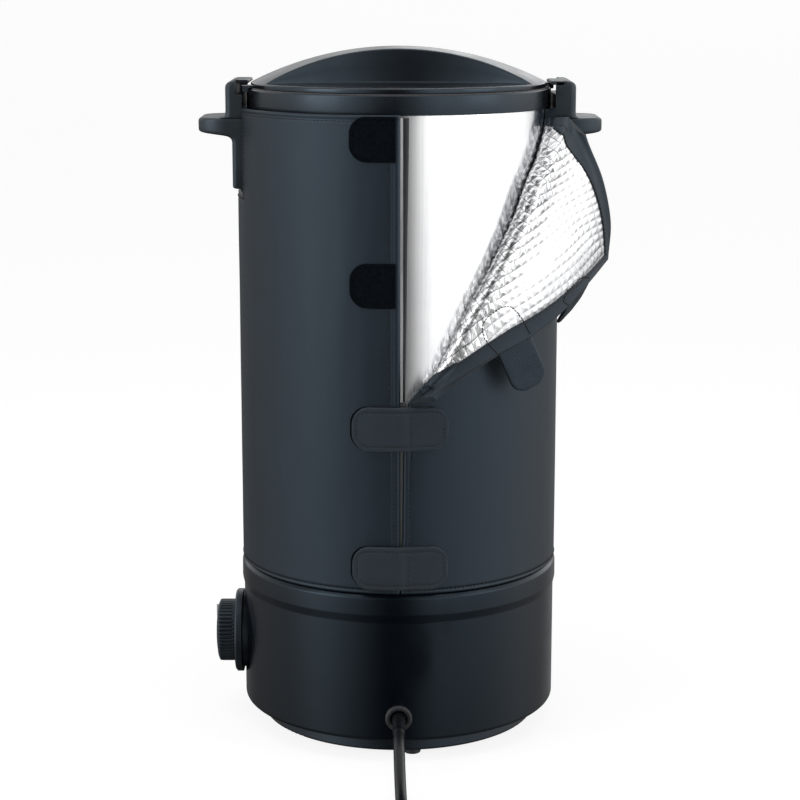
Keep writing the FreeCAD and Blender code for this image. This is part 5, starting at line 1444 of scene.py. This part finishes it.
def make_flap():
    """The folded-back panel: quilted foil outside, nylon behind, thinner towards its bound edges."""
    row_count, column_count = 300, 165
    places = [LAST_PLACE * index / (row_count - 1) for index in range(row_count)]
    grid = [panel_row(place, column_count) for place in places]
    face = np.array([[tuple(spot) for spot, _, _, _ in row] for row in grid])
    away = np.array([[tuple(direction) for _, direction, _, _ in row] for row in grid])
    share = np.array([[part for _, _, part, _ in row] for row in grid])
    total = np.array([[long for _, _, _, long in row] for row in grid])
    normal = outward_normals(face, away)
    flat = flat_places(places, share, total)
    to_edge = (1 - share) * total
    quilt = np.prod(np.abs(np.sin(math.pi * flat / QUILT)), axis=2)
    puff = quilt_puff(flat, quilt)
    band = np.array([[min(14.0, band_width(place))] for place in places])
    taper = smooth_step((to_edge - band + 9) / 14)
    sink = (1 - taper) * 1.6
    band = np.array([[band_width(place)] for place in places])
    cool = smooth_step((to_edge - band + 0.5) / 4)
    broad = np.array([[wavy(u * 0.035, v * 0.05, 12.0) for u, v in line] for line in flat])
    lift = 0.95 * puff * cool + 0.7 * broad * smooth_step(to_edge / 25) - sink
    outer = face + normal * lift[:, :, None]
    thick = np.full(face.shape[:2], 6.6)
    thick[:, :ROLL_STEPS] = 0
    inner = face - normal * (thick - 1.6 * (1 - taper) - 0.2 * np.abs(broad))[:, :, None]
    for i, place in enumerate(places):
        fold, _, _, roll = roll_at(place)
        hub = np.array(tuple(on_jacket(fold.x + roll, fold.y, 117.9)))
        for j in range(ROLL_STEPS):
            toward = np.array(tuple(grid[i][j][0])) - hub
            inner[i, j] = hub + toward * 0.12
    back = inner[:, ROLL_STEPS:, :2]
    radius = np.linalg.norm(back, axis=2, keepdims=True)
    back *= np.maximum(radius, CLEAR_OF_JACKET + 0.05) / radius
    panel = slab("folded_panel", outer, inner, sharp=70)
    panel_layer(panel, outer, inner, "quilt", flat / QUILT)
    panel_layer(panel, outer, inner, "panel", np.stack([share * total, to_edge], axis=2) / 100)
    panel.data.materials.append(paints["foil"])
    panel.data.materials.append(paints["jacket"])
    colour_back(panel, outer, inner, [band_width(place) > 60 for place in places])
    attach(panel, "melter")
    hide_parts("jacket_flap")
    make_binding(outer, inner, normal, to_edge, places)


def grid_cells(panel, outer, inner):
    """For each vertex of the panel, its grid cell and whether it is on the foil face."""
    spots = np.concatenate([outer.reshape(-1, 3), inner.reshape(-1, 3)]) * MM
    keys = {}
    count = outer.shape[0] * outer.shape[1]
    for index, spot in enumerate(spots):
        keys.setdefault(tuple(np.round(spot, 6)), index)
    cells = []
    for vertex in panel.data.vertices:
        index = keys.get(tuple(np.round(np.array(vertex.co), 6)))
        cells.append(None if index is None else (index % count, index < count))
    return cells


def panel_layer(panel, outer, inner, name, grid):
    """A layer of coordinates: quilting squares, or how far a point is from the fold and from the edge."""
    layer = panel.data.uv_layers.new(name=name)
    cells = grid_cells(panel, outer, inner)
    values = grid.reshape(-1, 2)
    for loop in panel.data.loops:
        cell = cells[loop.vertex_index]
        if cell is not None:
            layer.data[loop.index].uv = values[cell[0]]


def colour_back(panel, outer, inner, covered):
    """Nylon for the back, and for rows that the binding covers from end to end."""
    cells = grid_cells(panel, outer, inner)
    wide = outer.shape[1]
    for face in panel.data.polygons:
        known = [cells[vertex] for vertex in face.vertices if cells[vertex] is not None]
        on_foil = len(face.vertices) - len(known) + sum(1 for _, front in known if front)
        bare = on_foil * 2 > len(face.vertices) and not any(covered[index // wide] for index, _ in known)
        face.material_index = 0 if bare else 1


# How far the tape reaches in from the free edge, in millimetres, at places along that edge. Most of
# the widths were worked out by a scratch script from points read off the photograph.
BAND_WIDTHS = [(0, 80), (0.4, 80), (0.45, 18.5), (0.8, 19), (1, 16.8), (1.2, 15.1), (1.4, 14), (2, 15.5),
               (3, 15.8), (4, 12), (5, 7.4), (6, 5.6), (6.5, 9.9), (7, 14.5), (7.5, 20.8), (7.75, 27),
               (7.85, 34), (7.92, 46), (8, 53.5), (8.25, 51.7), (8.45, 50), (8.47, 80)]


def band_width(place):
    """How wide the binding shows on the foil side; at the foot and the top it covers the whole row."""
    return by_pairs(place, BAND_WIDTHS)


def in_from_edge(grid, to_edge, row, distance):
    """A row's point or direction, as an array, at a distance in from the panel's free edge."""
    return np.array([np.interp(-distance, -to_edge[row], grid[row, :, axis]) for axis in range(3)])


def sewn_tab(outer, normal, to_edge, places, first, last, deep, slant):
    """The stitched outline where a tab's hidden half is sewn through the panel."""
    line = []
    steps = 40
    for step in range(steps + 1):
        turn = math.pi * step / steps
        depth = math.sin(turn) ** 0.6
        across = math.copysign(abs(math.cos(turn)) ** 0.6, math.cos(turn))
        place = (first + last) / 2 - (last - first) / 2 * across + slant * depth
        inward = 1.0 + (deep - 1.0) * depth
        row = min(range(len(places)), key=lambda i: abs(places[i] - place))
        over = 0.95 if inward < band_width(place) else 0.2
        line.append(tuple(in_from_edge(outer, to_edge, row, inward)
                          + over * in_from_edge(normal, to_edge, row, inward)))
    thread = stitches("sewn_tab_outline", [line], 2.4, 2.2, 0.42)
    finished(thread, "melter", paints["thread"], "foil_lining")


def tape_section(outer, inner, normal, to_edge, row, wide):
    """The tape's outline at one row: over the foil, round the free edge, and 9 mm back along the nylon."""
    front = []
    for offset in np.linspace(wide, 0.0, 30):
        swell = 0.75 if 0.1 < offset < wide - 0.1 else 0.15
        front.append(Vector(in_from_edge(outer, to_edge, row, offset)
                            + in_from_edge(normal, to_edge, row, offset) * swell))
    back = []
    tucked = min(wide, 9.0)
    for offset in np.linspace(0.0, tucked, 7):
        swell = 0.7 if offset < tucked - 0.1 else 0.1
        back.append(Vector(in_from_edge(inner, to_edge, row, offset)
                           - in_from_edge(normal, to_edge, row, offset) * swell))
    ahead = (front[-1] - front[-3]).normalized()
    middle = (front[-1] + back[0]) / 2
    half = (front[-1] - back[0]) / 2
    rim = []
    for step in range(1, 8):
        turn = math.pi / 2 - math.pi * step / 8
        rim.append(middle + half * math.sin(turn) + ahead * (half.length * 0.8 * math.cos(turn)))
    section = front + rim + back
    for spot in section:
        radius = math.hypot(spot.x, spot.y)
        if radius < CLEAR_OF_JACKET:
            spot.x *= CLEAR_OF_JACKET / radius
            spot.y *= CLEAR_OF_JACKET / radius
    return section


def make_binding(outer, inner, normal, to_edge, places):
    """Binding tape over the panel's free edge, with its stitches, from the fold's foot to the top."""
    sections = []
    sewn = []
    for row, place in enumerate(places):
        wide = min(band_width(place), to_edge[row, 0])
        sections.append(tape_section(outer, inner, normal, to_edge, row, wide))
        if wide < to_edge[row, 0] * 0.9:
            spot = in_from_edge(outer, to_edge, row, wide - 1.5)
            sewn.append(tuple(spot + in_from_edge(normal, to_edge, row, wide - 1.5) * 0.82))
    foot = on_jacket(5.5, 262.5, 118.9)
    lead = []
    for share in (0.04, 0.25, 0.5, 0.78):
        lead.append([foot.lerp(spot, share) + (foot.normalized() * math.sin(math.pi * share) * 0.8)
                     for spot in sections[0]])
    sections = lead + sections
    sewn_tab(outer, normal, to_edge, places, 2.0, 3.1, 35.0, 0.6)
    sewn_tab(outer, normal, to_edge, places, 4.35, 5.2, 9.0, 0.0)
    band = strip("panel_binding", sections, sharp=60)
    finished(band, "melter", paints["binding"], "jacket_fabric")
    thread = stitches("binding_stitches", [sewn])
    finished(thread, "melter", paints["thread"], "jacket_fabric")


# ------------------------------------------------------------------------------- closure tabs
def strap_half(along, left, right, half, corner, round_right=True):
    """Half the strap's height at a place along it, less at its round ends."""
    inset = 0.0
    for distance, wanted in ((along - left, True), (right - along, round_right)):
        if wanted:
            inset = max(inset, corner_inset(distance, corner))
    return half - inset


def end_steps(left, right, step, both=True):
    """Places along a strap, closer together at its round ends."""
    rounded = [TAB_CORNER * (1 - math.cos(math.pi / 2 * n / 12)) for n in range(13)]
    places = [left + inset for inset in rounded]
    places += list(np.arange(left + TAB_CORNER + step, right - TAB_CORNER, step))
    if both:
        places += [right - inset for inset in reversed(rounded)]
    else:
        places += [right - TAB_CORNER + TAB_CORNER * n / 6 for n in range(7)]
    return places


def curved_strap(name, left, right, middle, low, thick, round_right=True, roll=0.7, seam=3.2, seed=0.0):
    """A rounded strap on the jacket; low gives its under face's radius at each place along it."""
    places = end_steps(left, right, 1.3, round_right)
    shares = np.concatenate([np.linspace(-1, -0.72, 9), np.linspace(-0.66, 0.66, 23),
                             np.linspace(0.72, 1, 9)])
    outer = np.zeros((len(places), len(shares), 3))
    inner = np.zeros_like(outer)
    for i, along in enumerate(places):
        half = max(0.05, strap_half(along, left, right, TAB_HEIGHT / 2, TAB_CORNER, round_right))
        for j, share in enumerate(shares):
            up = share * half
            rim = min(half - abs(up), along - left + 0.02)
            if round_right:
                rim = min(rim, right - along + 0.02)
            rim = max(0.0, rim)
            sunk = roll * rim_drop(rim / roll) + 0.28 * math.exp(-((rim - seam) / 0.7) ** 2)
            wave = 0.22 * wavy(along * 0.06, up * 0.08, 2.0, seed)
            wave += 0.07 * wavy(along * 0.4, up * 0.4, 1.0, seed)
            outer[i, j] = on_jacket(along, middle + up, low(along) + thick - sunk + wave)
            inner[i, j] = on_jacket(along, middle + up, low(along) + 0.1)
    return slab(name, outer, inner, sharp=70)


def strap_outline(left, right, middle, inset, radius, round_right=True):
    """A closed line that runs a given way inside a strap's edge."""
    upper, lower = [], []
    for along in end_steps(left + inset, right - inset, 2.0, round_right):
        half = max(0.0, strap_half(along, left + inset, right - inset, TAB_HEIGHT / 2 - inset,
                                   TAB_CORNER - inset, round_right))
        upper.append(on_jacket(along, middle + half, radius(along)))
        lower.append(on_jacket(along, middle - half, radius(along)))
    line = list(reversed(upper)) + lower[1:]
    line.append(line[0])
    return line


def make_patches():
    """The four patches of loop pile at the jacket's left edge, under the tabs' free halves."""
    left, right = -34.2, -2.2

    def low(_along):
        return 117.9
    pads, lines = [], []
    for number, middle in TAB_ROWS.items():
        pads.append(curved_strap(f"patch_{number}", left, right, middle, low, 1.15, False, 0.5, 2.2, number))
        lines.append(strap_outline(left, right, middle, 2.2, lambda _along: 119.0, False))
    finished(joined("loop_pile_patches", *pads), "melter", paints["loops"], "loop_fabric", "loop_patches")
    finished(stitches("patch_stitches", lines), "melter", paints["loops"], "loop_fabric")


def make_closed_tab(number, sewn):
    """A shut tab: sewn down right of the seam, its free half over the loop patch on the left."""
    middle = TAB_ROWS[number]

    def low(along):
        rise = float(smooth_step((sewn + 1.5 - along) / 7.0))
        return 117.95 + 1.35 * rise
    name = f"closed_tab_{number}"
    strap = curved_strap(name, TAB_LEFT, TAB_RIGHT, middle, low, 2.3, True, 0.8, 3.4, number * 3.0)
    strap.data.materials.append(paints["tab"])
    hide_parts(f"closure_tab_{number}_base", f"closure_tab_{number}_end")
    lines = [strap_outline(TAB_LEFT, TAB_RIGHT, middle, 3.4, lambda along: low(along) + 2.12)]
    across = sewn + 1.6
    lines.append([on_jacket(across, middle + up, low(across) + 2.22) for up in np.linspace(-12, 12, 12)])
    thread = stitches(f"tab_{number}_stitches", lines)
    thread.data.materials.append(paints["thread"])
    for piece in (strap, thread):
        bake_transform(piece)


def open_tab(number, first, last, reach, clear, rib):
    """The free half of an open tab off the panel's edge, with ribbed hook tape on its inner side."""
    start, stop = free_edge(first), free_edge(last)
    reach = Vector(reach)
    along = (stop - start).normalized()
    away = (reach - along * (0.6 * reach.dot(along))).normalized()
    fold = fold_place(first)
    row = (free_edge(first) - on_jacket(fold.x, fold.y)).normalized()
    off = (row - along * row.dot(along)).normalized() * clear
    width, long = (stop - start).length, reach.length
    corner = min(TAB_CORNER, width / 2.6)
    up = along.cross(away).normalized()
    steps = [(long - corner) * n / 110 for n in range(111)]
    steps += [long - corner + corner * math.sin(math.pi / 2 * n / 50) for n in range(1, 51)]
    shares = np.concatenate([np.linspace(0, 0.1, 6), np.linspace(0.125, 0.875, 31),
                             np.linspace(0.9, 1, 6)])
    outer = np.zeros((len(steps), len(shares), 3))
    inner = np.zeros_like(outer)
    for i, out in enumerate(steps):
        inset = corner_inset(long - out, corner)
        for j, share in enumerate(shares):
            across = inset + (width - 2 * inset) * share
            rim = max(0.0, min(across - inset, width - inset - across, (long - out)))
            sunk = 0.5 * rim_drop(rim / 0.7)
            ribs = rib * 0.5 * math.sin(math.pi * out / 1.5) ** 2 * min(1.0, max(0.0, rim - 1.2))
            wave = 0.35 * wavy(out * 0.08, across * 0.1, 3.0, number)
            curl = 0.0012 * out * out
            spot = start + off + along * across + away * out + up * (wave + curl)
            outer[i, j] = spot + up * (1.0 - sunk + ribs * 0.7)
            inner[i, j] = spot - up * (1.0 - sunk + ribs * 0.7)
    tab = slab(f"open_tab_{number}", outer, inner, sharp=60)
    finished(tab, "melter", paints["hooks"], "tab_fabric", f"closure_tab_{number}")


# ------------------------------------------------------------------------------- base, feet and knob
KNOB_INSET = 1.3
KNOB_AXIS = Matrix.Translation((KNOB_INSET, 0, KNOB_Z)) @ Matrix.Rotation(math.radians(-90), 4, "Y")
CORD_AXIS = Matrix.Translation((0, 0, INLET_Z)) @ Matrix.Rotation(math.radians(90), 4, "X")


def make_base():
    """The base housing with its bead under the jacket, and the grommet that the cord comes out of."""
    shell = lathe("base_housing", [(99, 16), (117.0, 16, 3.4), (117.0, 104.6, 6), (118.3, 110.4, 5),
                                   (118.2, 122.6, 2.2), (115.8, 125.4, 1.4), (109.4, 125.4), (109.4, 123.4),
                                   (113.4, 123.4), (113.4, 18), (99, 18)], 256)
    finished(shell, "melter", paints["base"], "base_paint", "base_shell")
    grommet = lathe("cord_gland", [(4.06, 110.4), (8.8, 110.4), (8.8, 112.8), (7.4, 112.8), (7.4, 115.5),
                                   (9.7, 115.5, 0.5), (9.7, 118.3, 0.9), (8.3, 119.5, 0.8), (6.5, 119.3, 0.7),
                                   (5.5, 116.4, 0.3), (4.06, 116.2, 0.3)], 64, CORD_AXIS)
    finished(grommet, "melter", paints["rubber"], "black_rubber", "cord_grommet")


def make_feet():
    """Four rubber feet, each pushed into the base plate by a barb."""
    circle = 94
    outline = [(0, 0), (5.9, 0, 0.8), (6.3, 1.6, 0.3), (6.3, 4.0, 0.3), (3.0, 4.0), (3.0, 6.05),
               (3.8, 6.05, 0.3), (3.4, 7.6, 0.3), (0, 7.6)]
    pads = []
    for angle in (-84, 6, 96, 186):
        turn = math.radians(angle)
        place = Matrix.Translation((circle * math.cos(turn), circle * math.sin(turn), 0))
        pads.append(lathe(f"foot_{angle}", outline, 40, place))
    finished(joined("foot_pads", *pads), "melter", paints["rubber"], "black_rubber", "rubber_feet")


def make_knob():
    """The ribbed thermostat knob with its painted pointer, on a raised bezel."""
    bezel = lathe("dial_bezel", [(5.2, 108.0), (26.0, 108.0), (27.4, 116.0, 1.2), (28.2, 119.4, 0.8),
                                 (31.5, 119.6, 0.4), (31.5, 123.9, 0.9), (30.0, 125.2, 0.7), (5.2, 125.2)],
                  128, KNOB_AXIS)

    def groove(angle, radius, up):
        if radius < 22.2 or not 126.6 < up < 139.0:
            return radius
        wave = math.cos(48 * angle)
        return radius - 0.85 * max(0.0, wave) ** 1.6
    corners = [(3.2, 125.8), (9.5, 125.8), (9.5, 128.9), (9.6, 128.9), (9.7, 125.75), (23.3, 125.75, 0.4),
               (23.5, 126.8)]
    corners += [(23.5, 128 + step * 1.5) for step in range(6)]
    corners += [(23.4, 137.4, 1.2), (20.5, 138.6, 2.5), (14.0, 139.6), (7.0, 140.1), (0, 140.2), (0, 135.9),
                (3.2, 135.9)]
    grip = lathe("dial_knob", corners, 48 * 8, KNOB_AXIS, groove, 45)
    pointer = rounded_box("pointer", (KNOB_INSET - 140.35, -0.8, KNOB_Z + 11),
                          (KNOB_INSET - 138.2, 0.8, KNOB_Z + 20), 0.25)
    finished(bezel, "melter", paints["knob"], "knob_plastic", "knob_bezel")
    finished(grip, "knob", paints["knob"], "knob_plastic", "control_knob")
    finished(pointer, "knob", paints["pointer"], "knob_plastic")


def make_pilot():
    """The pilot lens, a shallow dome in the bezel above the knob."""
    low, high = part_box("pilot_lens")
    middle = (Vector(low) + Vector(high)) / 2 / MM
    radius = (high[2] - low[2]) / 2 / MM
    front = -low[0] / MM - KNOB_INSET
    place = Matrix.Translation((0, middle.y, middle.z)) @ Matrix.Rotation(math.radians(-90), 4, "Y")
    dome = lathe("pilot_dome", [(0, front - 4), (radius, front - 4), (radius, front - 0.7, 0.4),
                                (0, front)], 40, place)
    finished(dome, "melter", paints["lens"], "lens_amber", "pilot_lens")


# ------------------------------------------------------------------------------- carried-over pieces
def paint_frame():
    """Finishes for the pieces whose built shape is shown as it is."""
    by_slot = {"pot_steel": "steel", "liner_steel": "liner", "lid_plastic": "lid", "handle_plastic": "handle",
               "collar_metal": "collar", "base_paint": "base", "jacket_fabric": "jacket",
               "foil_lining": "lining", "tab_fabric": "tab", "loop_fabric": "loops", "seal_silicone": "seal",
               "black_rubber": "rubber", "cord_pvc": "cord", "knob_plastic": "knob", "screw_steel": "screw",
               "heater_metal": "cast", "element_steel": "element", "shield_metal": "shield",
               "copper": "copper", "tap_metal": "tap", "lever_sleeve": "grip", "control_case": "case",
               "wire_sleeve": "sleeve", "lens_amber": "lens", "pin_brass": "brass"}
    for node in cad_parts.values():
        for held in node.material_slots:
            name = held.material.name.split(".")[0]
            held.material = paints[by_slot[name]]


make_pot()
make_lid()
make_handle("right_handle", "handle_right", 1, 1.9, 0.7)
make_handle("left_handle", "handle_left", -1, 0.0, -2.0)
make_jacket()
make_flap()
make_patches()
make_closed_tab(3, 7.1)
make_closed_tab(4, 5.1)
open_tab(1, 4.35, 5.2, (0.10, 30, -14), 1.3, 1.0)
open_tab(2, 2.0, 3.12, (17.5, 8, -29), 0.9, 1.0)
make_base()
make_feet()
make_knob()
make_pilot()
paint_frame()
bpy.context.scene.view_settings.view_transform = "Standard"
